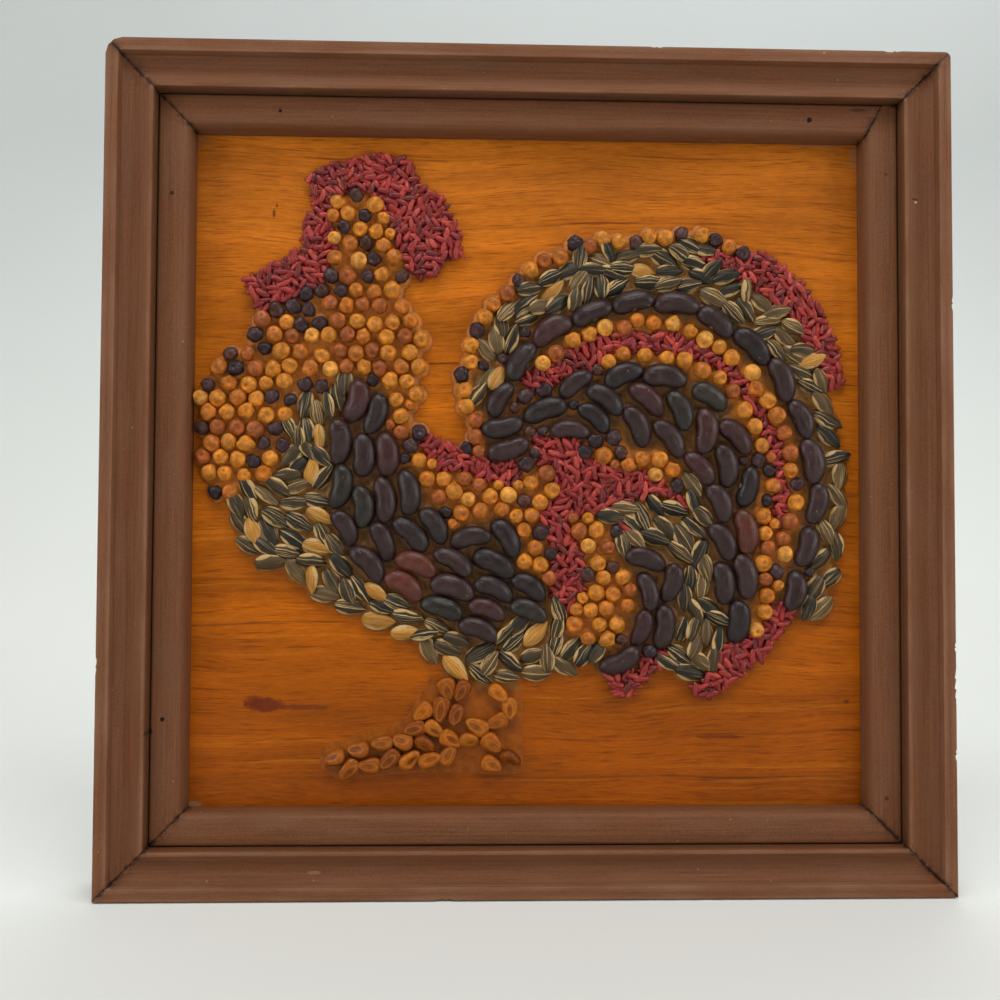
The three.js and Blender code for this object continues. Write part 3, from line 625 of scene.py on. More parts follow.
def lay_piece(name, seeds, material, nodes):
    """One mesh of many seeds, each turned, tilted and set on the board."""
    points, faces, local, colours = [], [], [], []
    start = 0
    for seed in seeds:
        kind = seed["kind"]
        forms = WRINKLED_PEAS if seed["dark"] else FORMS[kind]
        form_points, form_faces, form_local = forms[random.integers(len(forms))]
        turn = Matrix.Rotation(seed["heading"], 3, "Z")
        turn = turn @ Matrix.Rotation(random.normal(0, LEAN[kind] * 0.5), 3, "Y")
        turn = turn @ Matrix.Rotation(random.normal(0, LEAN[kind]), 3, "X")
        pivot = (0, 0, KINDS[kind]["size"][2] / 2)
        height = DARK_PEA_HEIGHT if seed["dark"] else 1
        stretch = seed["scale"] * np.array([1, random.uniform(0.95, 1.05), height])
        moved = (form_points - pivot) * stretch @ np.array(turn).T + pivot
        points.append(moved + [*seed["centre"], seed["lift"]])
        local.append(form_local)
        tint = tint_for("dark_pea" if seed["dark"] else kind)
        colours.append(np.tile([*tint, random.uniform()], (len(form_points), 1)))
        faces += [tuple(start + i for i in face) for face in form_faces]
        start += len(form_points)
    build_piece(name, np.concatenate(points), faces, material, nodes, [
        ("seed_place", "FLOAT_VECTOR", np.concatenate(local)),
        ("seed_tint", "FLOAT_COLOR", np.concatenate(colours)),
    ])


# Materials

class Nodes:
    """A material's node tree, with short calls for the nodes that repeat."""

    def __init__(self, name, coat=0.0, coat_roughness=0.2, specular=0.5):
        self.material = bpy.data.materials.new(name)
        self.material.use_nodes = True
        self.tree = self.material.node_tree
        self.shader = self.tree.nodes["Principled BSDF"]
        self.shader.inputs["Coat Weight"].default_value = coat
        self.shader.inputs["Coat Roughness"].default_value = coat_roughness
        self.shader.inputs["Specular IOR Level"].default_value = specular
        self.spot = self.add("ShaderNodeTexCoord").outputs["Object"]

    def add(self, kind, **inputs):
        node = self.tree.nodes.new(kind)
        for key, value in inputs.items():
            self.join(value, node, key.replace("_", " "))
        return node

    def join(self, value, node, key):
        if isinstance(value, bpy.types.NodeSocket):
            self.tree.links.new(value, node.inputs[key])
        else:
            node.inputs[key].default_value = value

    def attribute(self, name, output="Color"):
        node = self.tree.nodes.new("ShaderNodeAttribute")
        node.attribute_name = name
        return node.outputs[output]

    def parts(self, vector):
        return self.add("ShaderNodeSeparateXYZ", Vector=vector).outputs

    def math(self, operation, a, b=0.0):
        node = self.tree.nodes.new("ShaderNodeMath")
        node.operation = operation
        self.join(a, node, 0)
        self.join(b, node, 1)
        return node.outputs[0]

    def plus(self, a, b):
        return self.math("ADD", a, b)

    def minus(self, a, b):
        return self.math("SUBTRACT", a, b)

    def times(self, a, b):
        return self.math("MULTIPLY", a, b)

    def swing(self, value, reach):
        """A noise value moved to lie on both sides of 0."""
        return self.times(self.minus(value, 0.5), reach)

    def joined(self, x, y, z):
        return self.add("ShaderNodeCombineXYZ", X=x, Y=y, Z=z).outputs[0]

    def noise(self, vector, stretch, detail=4.0, roughness=0.55):
        """Noise with one scale, or with a scale for each axis."""
        if isinstance(stretch, tuple):
            vector = self.add("ShaderNodeMapping", Vector=vector, Scale=stretch).outputs[0]
            stretch = 1.0
        node = self.add("ShaderNodeTexNoise", Vector=vector, Scale=stretch, Detail=detail,
                        Roughness=roughness)
        return node.outputs[0]

    def span(self, value, low, high, to_low=0.0, to_high=1.0):
        node = self.add("ShaderNodeMapRange", Value=value, From_Min=low, From_Max=high,
                        To_Min=to_low, To_Max=to_high)
        return node.outputs[0]

    def ramp(self, factor, *stops):
        node = self.add("ShaderNodeValToRGB", Fac=factor)
        elements = node.color_ramp.elements
        while len(elements) < len(stops):
            elements.new(0.5)
        for element, (place, colour) in zip(elements, stops):
            element.position = place
            element.color = (*colour, 1)
        return node.outputs[0]

    def mix(self, factor, a, b, blend="MIX"):
        node = self.tree.nodes.new("ShaderNodeMix")
        node.data_type = "RGBA"
        node.blend_type = blend
        for key, value in ((0, factor), (6, a), (7, b)):
            self.join((*value, 1) if isinstance(value, tuple) else value, node, key)
        return node.outputs[2]

    def shaded(self, colour, value, low, high, darkest, brightest):
        """A colour made darker or lighter where a value runs from low to high."""
        level = self.span(value, low, high, darkest, brightest)
        grey = self.add("ShaderNodeCombineColor", Red=level, Green=level, Blue=level).outputs[0]
        return self.mix(1.0, colour, grey, "MULTIPLY")

    def oval(self, a, b, centre_a, centre_b, half_a, half_b):
        """0 at a centre and 1 on the oval round it."""
        first = self.math("DIVIDE", self.minus(a, centre_a), half_a)
        second = self.math("DIVIDE", self.minus(b, centre_b), half_b)
        return self.plus(self.times(first, first), self.times(second, second))

    def marked(self, colour, marks):
        """A colour with ragged marks: x, z, half width, half height, strength and colour of each."""
        x, _, z = self.parts(self.spot)
        ragged = self.swing(self.noise(self.spot, 420.0), 2.4)
        for across, up, wide, tall, strength, tint in marks:
            reach = self.oval(x, z, across * MM, BOARD_MIDDLE + up * MM, wide * MM, tall * MM)
            mark = self.span(self.plus(reach, ragged), 0.6, 1.3, strength, 0.0)
            colour = self.mix(mark, colour, tint)
        return colour

    def finish(self, colour, roughness, bump, distance, strength=0.5):
        bumped = self.add("ShaderNodeBump", Height=bump, Strength=strength, Distance=distance)
        self.join(colour, self.shader, "Base Color")
        self.join(roughness, self.shader, "Roughness")
        self.join(bumped.outputs[0], self.shader, "Normal")
        return self.material


def bean_material():
    """Almost black seed coat, mottled, with a thin dusty bloom and a pale scar at the hollow side."""
    nodes = Nodes("bean_coat", coat=0.1, coat_roughness=0.22, specular=0.25)
    place = nodes.attribute("seed_place", "Vector")
    along, across, up = nodes.parts(place)
    fine = nodes.noise(nodes.spot, 1500.0, 5.0)
    mottle = nodes.noise(place, 2.2, 4.0)
    colour = nodes.shaded(nodes.attribute("seed_tint"), mottle, 0.3, 0.7, 0.6, 1.45)
    patchy = nodes.span(nodes.noise(nodes.spot, 260.0), 0.45, 0.7)
    dust = nodes.times(nodes.span(up, 0.3, 1.0), patchy)
    colour = nodes.mix(nodes.times(dust, 0.08), colour, srgb(122, 104, 92))
    scar = nodes.span(nodes.oval(along, across, 0.0, -0.85, 0.16, 0.13), 0.7, 1.0, 0.55, 0.0)
    colour = nodes.mix(scar, colour, srgb(150, 130, 112))
    specks = nodes.span(nodes.noise(nodes.spot, 900.0, 1.0), 0.76, 0.8, 0.0, 0.6)
    colour = nodes.mix(specks, colour, srgb(150, 140, 128))
    folds = nodes.noise(place, (2.0, 5.0, 5.0), 2.0)
    wrinkles = nodes.plus(fine, nodes.times(folds, 2.0))
    return nodes.finish(colour, nodes.span(fine, 0.3, 0.7, 0.28, 0.46), wrinkles, 0.0003, 0.4)


def sunflower_material():
    """Dark husk with fine streaks, cream edges and a few broken cream stripes."""
    nodes = Nodes("sunflower_husk", coat=0.08, coat_roughness=0.3, specular=0.2)
    place = nodes.attribute("seed_place", "Vector")
    along, across, _ = nodes.parts(place)
    chance = nodes.attribute("seed_tint", "Alpha")
    taper = nodes.minus(1.1, nodes.times(nodes.math("ABSOLUTE", along), 0.55))
    sway = nodes.swing(nodes.noise(place, (1.0, 2.0, 1.0), 2.0), 0.3)
    off_keel = nodes.math("DIVIDE", across, taper)
    fan = nodes.plus(off_keel, sway)
    fanned = nodes.joined(nodes.times(along, 0.9), nodes.times(fan, 9.0), nodes.times(chance, 31.0))
    streaks = nodes.noise(fanned, 1.0, 3.0, 0.6)
    colour = nodes.shaded(nodes.attribute("seed_tint"), streaks, 0.3, 0.7, 0.55, 1.5)
    cream = nodes.mix(nodes.noise(place, 5.0), srgb(218, 184, 126), srgb(144, 110, 62))
    bands = nodes.noise(fanned, (0.3, 0.6, 1.0), 1.0)
    striped = nodes.span(chance, 0.2, 0.7, 0.25, 0.95)
    stripes = nodes.times(nodes.span(bands, 0.57, 0.64), striped)
    colour = nodes.mix(stripes, colour, cream)
    edge = nodes.span(nodes.math("ABSOLUTE", off_keel), 0.73, 0.85, 0.0, 0.95)
    colour = nodes.mix(edge, colour, cream)
    return nodes.finish(colour, nodes.span(streaks, 0.3, 0.7, 0.4, 0.58), streaks, 0.00025, 0.5)


def pea_material():
    """Dry pea skin: blotched, with a pale ring round a dark dimple."""
    nodes = Nodes("pea_skin", coat=0.12, coat_roughness=0.24, specular=0.2)
    place = nodes.attribute("seed_place", "Vector")
    pole = nodes.parts(place)[0]
    chance = nodes.attribute("seed_tint", "Alpha")
    blotch = nodes.noise(place, 1.3, 2.0)
    colour = nodes.shaded(nodes.attribute("seed_tint"), blotch, 0.36, 0.64, 0.64, 1.24)
    ringed = nodes.span(chance, 0.2, 0.5, 0.0, 0.4)
    ring = nodes.times(nodes.span(pole, -0.96, -0.84, 1.0, 0.0), ringed)
    colour = nodes.mix(ring, colour, srgb(238, 190, 120), "SOFT_LIGHT")
    pitted = nodes.span(chance, 0.3, 0.6, 0.1, 0.45)
    pit = nodes.times(nodes.span(pole, -0.99, -0.955, 1.0, 0.0), pitted)
    colour = nodes.mix(pit, colour, srgb(104, 52, 22), "MULTIPLY")
    fine = nodes.noise(nodes.spot, 1300.0, 4.0)
    return nodes.finish(colour, nodes.span(fine, 0.3, 0.7, 0.36, 0.54), fine, 0.00016, 0.5)


def kernel_material():
    """Maize skin: amber with a brown hollow, a paler rim round it and painted shade down its lower
    sides.
    """
    nodes = Nodes("kernel_skin", coat=0.1, coat_roughness=0.18, specular=0.12)
    place = nodes.attribute("seed_place", "Vector")
    along, across, up = nodes.parts(place)
    fine = nodes.noise(nodes.spot, 1100.0, 4.0)
    blotch = nodes.noise(place, 2.0, 4.0)
    colour = nodes.shaded(nodes.attribute("seed_tint"), blotch, 0.3, 0.7, 0.7, 1.25)
    germ = nodes.oval(along, across, 0.1, 0.0, 0.62, 0.34)
    chance = nodes.attribute("seed_tint", "Alpha")
    rim = nodes.span(nodes.math("ABSOLUTE", nodes.minus(germ, 1.3)), 0.0, 0.6, 0.3, 0.0)
    colour = nodes.mix(rim, colour, srgb(204, 132, 48))
    hollow = nodes.times(nodes.span(germ, 0.1, 1.1, 0.8, 0.0), nodes.span(up, 0.0, 0.3))
    hollow = nodes.times(hollow, nodes.span(chance, 0.1, 0.9))
    colour = nodes.mix(hollow, colour, srgb(98, 42, 6))
    # Painted shade: each kernel darkens down its lower sides towards the board.
    outline = nodes.span(up, -0.1, 0.4, 0.75, 0.0)
    colour = nodes.mix(outline, colour, srgb(80, 34, 5))
    return nodes.finish(colour, nodes.span(fine, 0.3, 0.7, 0.34, 0.5), fine, 0.00016, 0.5)


def rice_material():
    """Rice dyed crimson, paler where the dye missed a ridge."""
    nodes = Nodes("dyed_rice", coat=0.22, coat_roughness=0.22, specular=0.25)
    place = nodes.attribute("seed_place", "Vector")
    streak = nodes.noise(place, (0.6, 3.0, 3.0), 2.0)
    dye = nodes.noise(nodes.spot, 500.0)
    colour = nodes.shaded(nodes.attribute("seed_tint"), dye, 0.3, 0.7, 0.7, 1.3)
    colour = nodes.mix(nodes.span(streak, 0.55, 0.75, 0.0, 0.35), colour, srgb(190, 96, 88))
    fine = nodes.noise(nodes.spot, 1500.0)
    return nodes.finish(colour, nodes.span(fine, 0.3, 0.7, 0.36, 0.52), fine, 0.0001, 0.4)


def film_material():
    """Dried glue: brown between the seeds, partly painted shade there, thinning to the amber of the
    board.
    """
    nodes = Nodes("dried_glue", coat=0.08, coat_roughness=0.25, specular=0.15)
    blot = nodes.noise(nodes.spot, 330.0, 5.0)
    colour = nodes.shaded(nodes.attribute("film_and_shade_tint"), blot, 0.3, 0.7, 0.68, 1.22)
    waves = nodes.noise(nodes.spot, 500.0, 3.0)
    return nodes.finish(colour, nodes.span(blot, 0.3, 0.7, 0.36, 0.52), waves, 0.0003, 0.35)


# Marks on the wood: x, z, half width, half height, strength and colour
FRAME_MARKS = [
    (140.5, 99.3, 1.7, 0.3, 0.85, srgb(40, 22, 14)),
    (140.9, 98.3, 0.6, 0.4, 0.9, srgb(205, 160, 130)),
    (-135.4, -95.0, 0.8, 1.1, 0.8, srgb(38, 22, 14)),
    (131.4, 109.7, 0.8, 0.4, 0.6, srgb(48, 30, 20)),
    (105.8, 151.3, 0.5, 0.5, 0.7, srgb(160, 118, 92)),
    (121.5, 133.5, 3.5, 0.7, 0.6, srgb(40, 24, 16)),
    (-76.0, -144.0, 2.2, 0.6, 0.5, srgb(150, 110, 84)),
]
BOARD_MARKS = [
    (-97, -87, 7.0, 2.6, 0.9, srgb(98, 36, 12)),
    (-84, -88, 11, 1.0, 0.7, srgb(98, 42, 14)),
    (-101, -86, 3.0, 3.0, 0.7, srgb(98, 36, 12)),
    (72, -99, 9, 0.7, 0.7, srgb(92, 36, 8)),
    (-95.5, 95, 0.7, 1.7, 0.8, srgb(82, 36, 10)),
    (-94.5, 98, 0.5, 0.9, 0.7, srgb(82, 36, 10)),
    (119, -86, 1.2, 0.8, 0.8, srgb(96, 40, 14)),
    (-63, -48, 0.6, 0.4, 0.6, srgb(96, 40, 14)),
    (-36, 104, 0.5, 0.4, 0.6, srgb(96, 40, 14)),
    (-124, 122, 4.5, 2.6, 0.35, srgb(112, 84, 60)),
    (123.5, 119, 2.2, 5.0, 0.4, srgb(140, 100, 76)),
    (110, 123.7, 12, 0.9, 0.4, srgb(140, 98, 70)),
    (-122.5, -123.5, 3.4, 1.3, 0.55, srgb(136, 118, 92)),
]
# Heights of the fine cracks that run along the board's grain
BOARD_LINES = [119.5, 92.5, 41.5, 30.5, -57.5, -99.5, -114.5]


def board_material():
    """Pine stained amber in front, with wavy grain, pores, marks and cracks, and bare behind."""
    nodes = Nodes("amber_pine", coat=0.04, coat_roughness=0.3, specular=0.12)
    x, _, z = nodes.parts(nodes.spot)
    sway = nodes.noise(nodes.spot, (6.0, 1.0, 14.0), 2.0)
    bent = nodes.plus(z, nodes.swing(sway, 0.022))
    course = nodes.joined(x, 0.0, bent)
    grain = nodes.noise(course, (3.0, 1.0, 70.0), 5.0, 0.6)
    rings = nodes.noise(course, (4.0, 1.0, 330.0), 4.0, 0.65)
    pores = nodes.noise(course, (55.0, 1.0, 1500.0), 3.0, 0.7)
    fibres = nodes.noise(course, (24.0, 1.0, 700.0), 4.0, 0.7)
    cloud = nodes.noise(nodes.spot, (10.0, 1.0, 26.0), 3.0)
    height = nodes.span(z, board_low.z, board_high.z)
    colour = nodes.ramp(height, (0.0, srgb(136, 63, 0)), (0.25, srgb(164, 82, 0)),
                        (0.55, srgb(190, 102, 10)), (1.0, srgb(182, 102, 26)))
    colour = nodes.shaded(colour, grain, 0.32, 0.68, 0.76, 1.16)
    colour = nodes.shaded(colour, cloud, 0.35, 0.65, 0.8, 1.16)
    colour = nodes.mix(nodes.span(rings, 0.54, 0.7, 0.0, 0.42), colour, srgb(116, 52, 4))
    colour = nodes.mix(nodes.span(rings, 0.44, 0.32, 0.0, 0.3), colour, srgb(208, 128, 30))
    colour = nodes.mix(nodes.span(fibres, 0.55, 0.68, 0.0, 0.3), colour, srgb(96, 42, 4))
    colour = nodes.mix(nodes.span(pores, 0.53, 0.66, 0.0, 0.6), colour, srgb(88, 38, 4))
    fleck = nodes.noise(course, (160.0, 1.0, 1300.0), 3.0, 0.75)
    colour = nodes.shaded(colour, fleck, 0.35, 0.65, 0.84, 1.14)
    for line in BOARD_LINES:
        away = nodes.math("ABSOLUTE", nodes.minus(bent, BOARD_MIDDLE + line * MM))
        broken = nodes.span(nodes.noise(course, (22.0, 1.0, 90.0), 2.0), 0.42, 0.6, 0.0, 0.75)
        shade = nodes.times(nodes.span(away, 0.0001, 0.0006, 1.0, 0.0), broken)
        colour = nodes.mix(shade, colour, srgb(78, 32, 6))
    bare = nodes.mix(nodes.span(rings, 0.4, 0.65), srgb(160, 112, 66), srgb(126, 82, 46))
    bare = nodes.mix(nodes.span(pores, 0.53, 0.66, 0.0, 0.5), bare, srgb(92, 58, 34))
    bare = nodes.shaded(bare, cloud, 0.35, 0.65, 0.82, 1.12)
    facing = nodes.parts(nodes.add("ShaderNodeNewGeometry").outputs["Normal"])[1]
    colour = nodes.mix(nodes.span(facing, 0.4, 0.6), nodes.marked(colour, BOARD_MARKS), bare)
    relief = nodes.plus(grain, nodes.times(pores, 0.8))
    return nodes.finish(colour, nodes.span(grain, 0.3, 0.7, 0.36, 0.5), relief, 0.0002, 0.5)


def frame_material():
    """Dark brown stained wood: fine grain along each bar, dust, dirt and painted shade in its corners,
    rubbed edges.
    """
    nodes = Nodes("brown_stained_wood", specular=0.2)
    bar = nodes.attribute("bar_place", "Vector")
    worn, shade_and_dirt_mask, mitre = nodes.parts(nodes.attribute("bar_wear_and_shade"))
    grain = nodes.noise(bar, (0.025, 1.1, 1.0), 5.0, 0.6)
    pores = nodes.noise(bar, (0.2, 5.0, 1.0), 3.0, 0.7)
    blots = nodes.noise(bar, (0.03, 0.12, 1.0), 4.0)
    grit = nodes.noise(nodes.spot, 2600.0, 2.0, 0.7)
    colour = nodes.ramp(grain, (0.3, srgb(99, 61, 37)), (0.5, srgb(109, 68, 42)),
                        (0.7, srgb(119, 75, 46)))
    colour = nodes.mix(nodes.span(pores, 0.56, 0.7, 0.0, 0.4), colour, srgb(60, 36, 22))
    colour = nodes.mix(nodes.span(blots, 0.48, 0.7, 0.0, 0.5), colour, srgb(114, 77, 54))
    colour = nodes.mix(nodes.span(blots, 0.45, 0.3, 0.0, 0.45), colour, srgb(115, 63, 36))
    colour = nodes.shaded(colour, grit, 0.3, 0.7, 0.76, 1.24)
    rubbed = nodes.times(worn, nodes.span(blots, 0.35, 0.65, 0.05, 0.5))
    colour = nodes.mix(rubbed, colour, srgb(146, 106, 82))
    blotch = nodes.noise(nodes.spot, 420.0, 5.0, 0.7)
    # Painted shade with some dirt: darker in the groove between rail and strip, at the strip's foot and
    # in the mitre creases.
    painted_shade_and_dirt = nodes.times(shade_and_dirt_mask, nodes.span(blotch, 0.3, 0.6, 0.35, 1.0))
    colour = nodes.mix(painted_shade_and_dirt, colour, srgb(56, 33, 20))
    ragged = nodes.times(mitre, nodes.span(blotch, 0.46, 0.56, 0.0, 1.6))
    colour = nodes.mix(nodes.math("MINIMUM", ragged, 0.85), colour, srgb(46, 27, 17))
    specks = nodes.span(nodes.noise(nodes.spot, 700.0, 1.0), 0.8, 0.82, 0.0, 0.6)
    colour = nodes.mix(specks, colour, srgb(176, 158, 138))
    colour = nodes.marked(colour, FRAME_MARKS)
    coarse = nodes.plus(grain, nodes.times(pores, 0.5))
    relief = nodes.plus(coarse, nodes.times(grit, 0.5))
    return nodes.finish(colour, nodes.span(grit, 0.3, 0.7, 0.52, 0.7), relief, 0.0003, 0.45)


# Frame: profiles measured inward from the outer edge and down from the front

RAIL_WIDTH = 16.5
STRIP_START = 16.8
STRIP_END = 28.5
BOARD_DEPTH = FRONT_HEIGHT
MITRE_GAP = 0.02
WORN_CORNER = 4.0
ROUND_CORNER = 1.6
# How far the wood dips at distances from a mitre
CREASE = ((0.0, 0.5), (0.12, 0.34), (0.35, 0.12), (0.8, 0.0), (2.0, 0.0))
BAR_STEPS = 80
LONGEST_SIDE = 1.7
SHARP_ANGLE = 38
# Chips knocked out of a rail's outer edge: place along it, half length and depth
CHIPS = {
    "right": ((78.0, 7.0, 0.4), (102.5, 2.5, 0.35), (64.0, 2.0, 0.3), (-60.0, 3.0, 0.3)),
    "top": ((131.0, 4.0, 0.3), (45.0, 3.0, 0.25)),
    "left": ((-70.0, 4.0, 0.3),),
    "bottom": ((30.0, 4.0, 0.35),),
}
# A chip's depth along it, as shares of its half length and depth
CHIP_SHAPE = ((-1.0, 0.0), (-0.6, 0.5), (-0.4, 0.9), (0.1, 1.0), (0.5, 0.7), (0.7, 0.2), (1.0, 0.0))
# Where a rail's front is rubbed, measured inward
RUBBED_EDGES = (0.3, 4.4, RAIL_WIDTH - 0.5)


def rounded(corners, radii, steps=4):
    """A profile with its corners rounded."""
    outline = []
    for i, (corner, radius) in enumerate(zip(corners, radii)):
        here = np.array(corner, float)
        if radius == 0:
            outline.append(here)
            continue
        before = np.array(corners[i - 1], float) - here
        after = np.array(corners[(i + 1) % len(corners)], float) - here
        start = here + before / np.linalg.norm(before) * min(radius, np.linalg.norm(before) / 2)
        end = here + after / np.linalg.norm(after) * min(radius, np.linalg.norm(after) / 2)
        for t in np.linspace(0, 1, steps + 1):
            outline.append((1 - t) ** 2 * start + 2 * t * (1 - t) * here + t * t * end)
    return np.array(outline)


def rail_profile():
    """Outer edge, fillet, cove, ridge, inner wall and rebate."""
    cove = [(5.0 + 10.2 * t, 3.4 - 1.5 * t + 2.0 * math.sin(math.pi * t))
            for t in np.linspace(0, 1, 12)]
    corners = [(0, PANEL_DEPTH), (0, 0), (4.6, 0), *cove, (RAIL_WIDTH, 2.1), (RAIL_WIDTH, BOARD_DEPTH),
               (RAIL_WIDTH - 5.5, BOARD_DEPTH), (RAIL_WIDTH - 5.5, PANEL_DEPTH)]
    return rounded(corners, [0.6, 0.6, 0.22, 0.12, *([0] * (len(cove) - 2)), 0.15, 0.4, 0.3, 0.3, 0.6])


def strip_profile():
    """A flat strip with its inner edge well rounded."""
    corners = [(STRIP_START, BOARD_DEPTH), (STRIP_START, 7.5), (STRIP_END - 5.2, 7.4), (STRIP_END, 7.9),
               (STRIP_END, BOARD_DEPTH)]
    return rounded(corners, [0.2, 1.2, 1.5, 5.2, 0.2], 7)


def divided(outline, longest):
    """The outline with its long sides divided, so that wear has points to move."""
    points = []
    for i, here in enumerate(outline):
        after = outline[(i + 1) % len(outline)]
        steps = max(1, round(np.linalg.norm(after - here) / longest))
        points += [here + (after - here) * j / steps for j in range(steps)]
    return np.array(points)


def plain_mitre(inward):
    return HALF_PANEL - inward - MITRE_GAP


# How far the badly cut strip stops short at its outer edge
SLIP = 5.7


def slipped_mitre(inward):
    """The end of a strip that was cut too steep, so it stops short at its outer edge."""
    return plain_mitre(inward) - SLIP * (STRIP_END - inward) / (STRIP_END - STRIP_START)


def covering_mitre(inward):
    """The end of the strip beside it, which runs on behind the slipped one."""
    along = (inward - STRIP_START - SLIP) / (1 - SLIP / (STRIP_END - STRIP_START))
    return HALF_PANEL - STRIP_START - MITRE_GAP - np.clip(along, 0, STRIP_END - STRIP_START)


def mitred_bar(name, profile, turn, material, nodes, ends=(plain_mitre, plain_mitre), chips=()):
    """A bar of the frame, made as the top one and turned round the panel's middle.

    A station along the bar is its x, its dip, how near a mitre it is and its chip.
    """
    profile = divided(profile, LONGEST_SIDE)
    count = len(profile)
    inward, depth = profile[:, 0], profile[:, 1]
    arc = np.concatenate([[0], np.cumsum(np.linalg.norm(np.diff(profile, axis=0), axis=1))])
    left, right = -ends[0](inward), ends[1](inward)
    stations = [(left + away, dip, math.exp(-away), 0.0) for away, dip in CREASE]
    inner_left, inner_right = left + CREASE[-1][0], right - CREASE[-1][0]
    length = (inner_right - inner_left).max()
    shares = {t: 0.0 for t in np.linspace(0, 1, BAR_STEPS + 1)[1:-1]}
    for place, half_length, deep in chips:
        for along, share in CHIP_SHAPE:
            shares[0.5 + (place + along * half_length) / length] = share * deep
    for t, chip in sorted(shares.items()):
        stations.append((inner_left + (inner_right - inner_left) * t, 0.0, 0.0, chip))
    stations += [(right - away, dip, math.exp(-away), 0.0) for away, dip in reversed(CREASE)]
    phase = random.uniform(0, 100)
    front = np.clip((BOARD_DEPTH - depth) / 2, 0, 1) * np.clip(inward / 0.6, 0, 1)
    foot = np.clip((depth - BOARD_DEPTH + 2) / 2, 0, 1) * (inward > RAIL_WIDTH)
    if inward.min() < 1:
        edge = sum(np.exp(-((inward - place) / 0.7) ** 2) for place in RUBBED_EDGES) * (depth < 3)
        groove = np.exp(-(RAIL_WIDTH - inward) / 0.3) * np.clip((depth - 3) / 3, 0, 1)
    else:
        edge = np.zeros(count)
        groove = np.exp(-(inward - STRIP_START) / 0.5)
    points, bar, wear_and_shade = [], [], []
    outer_edge = np.exp(-(inward / 1.3) ** 2 - (depth / 1.8) ** 2)
    for x, dip, near, chip in stations:
        ripple = np.sin(x * 0.045 + inward * 0.3 + phase)
        ripple += 0.5 * np.sin(x * 0.21 + depth * 0.4 + phase * 2)
        crack = dip * (0.7 + 0.5 * np.sin(inward * 2.1 + phase) * np.sin(inward * 0.7 + phase * 3))
        down = depth + (0.08 + 0.06 * np.abs(ripple) + crack) * front + chip * outer_edge
        across = HALF_PANEL - inward - chip * outer_edge
        points.append(np.stack([x, across, FRONT_HEIGHT - down], axis=1))
        bar.append(np.stack([x, arc, np.full(count, phase)], axis=1))
        # Painted shade with some dirt: the groove by the rail's inner wall, the strip's foot and the
        # crease at each mitre are darkened.
        painted_shade_and_dirt = np.clip(groove * 0.45 + foot * 0.4 + dip * 2.2, 0, 1)
        wear_and_shade.append(np.stack([np.clip(edge, 0, 1), painted_shade_and_dirt, np.full(count, near), np.ones(count)], axis=1))
    faces = []
    for step in range(len(stations) - 1):
        for i in range(count):
            after = (i + 1) % count
            a, b = step * count, (step + 1) * count
            faces.append((a + i, a + after, b + after, b + i))
    faces.append(tuple(reversed(range(count))))
    faces.append(tuple((len(stations) - 1) * count + i for i in range(count)))
    points = np.concatenate(points)
    angle = math.radians(turn)
    x, z = points[:, 0].copy(), points[:, 1].copy()
    points[:, 0] = x * math.cos(angle) - z * math.sin(angle)
    points[:, 1] = x * math.sin(angle) + z * math.cos(angle)
    for side, cut in ((-1, WORN_CORNER), (1, ROUND_CORNER)):
        over = np.clip(side * points[:, 0] + points[:, 1] - (2 * HALF_PANEL - cut), 0, None) / 2
        points[:, 0] -= side * over
        points[:, 1] -= over
    piece = build_piece(name, points, faces, material, nodes, [
        ("bar_place", "FLOAT_VECTOR", np.concatenate(bar)),
        ("bar_wear_and_shade", "FLOAT_COLOR", np.concatenate(wear_and_shade)),
    ])
    piece.data.set_sharp_from_angle(angle=math.radians(SHARP_ANGLE))


def make_frame():
    """Four rails and four strips. At the top right one strip slipped and the next covers it."""
    material = frame_material()
    strip_ends = {
        "top": (plain_mitre, slipped_mitre),
        "right": (covering_mitre, plain_mitre),
    }
    for place, turn in (("top", 0), ("left", 90), ("bottom", 180), ("right", 270)):
        mitred_bar(f"moulding_{place}", rail_profile(), turn, material, [f"outer_rail_{place}"],
                   chips=CHIPS[place])
        ends = strip_ends.get(place, (plain_mitre, plain_mitre))
        mitred_bar(f"strip_{place}", strip_profile(), turn, material, [f"inner_strip_{place}"], ends)


# Nail holes in the strips: x, z and radius
NAIL_HOLES = [
    (-91.8, 129.8, 0.55), (102.8, 129.6, 0.8), (-130.5, 99.0, 0.6),
    (-131.2, -90.6, 0.7), (130.0, -119.4, 0.6),
]
STRIP_FACE = FRONT_HEIGHT - 7.5
# A hole's rings: share of its radius and height over the strip
HOLE_RINGS = ((0.5, -0.03), (0.85, 0.02), (1.0, 0.06), (1.15, 0.0), (1.3, -0.4))
HOLE_SIDES = 14


def hole_material():
    nodes = Nodes("nail_hole", specular=0.2)
    dust = nodes.noise(nodes.spot, 2000.0)
    return nodes.finish(nodes.mix(dust, srgb(12, 8, 6), srgb(36, 22, 15)), 0.8, dust, 0.0001)


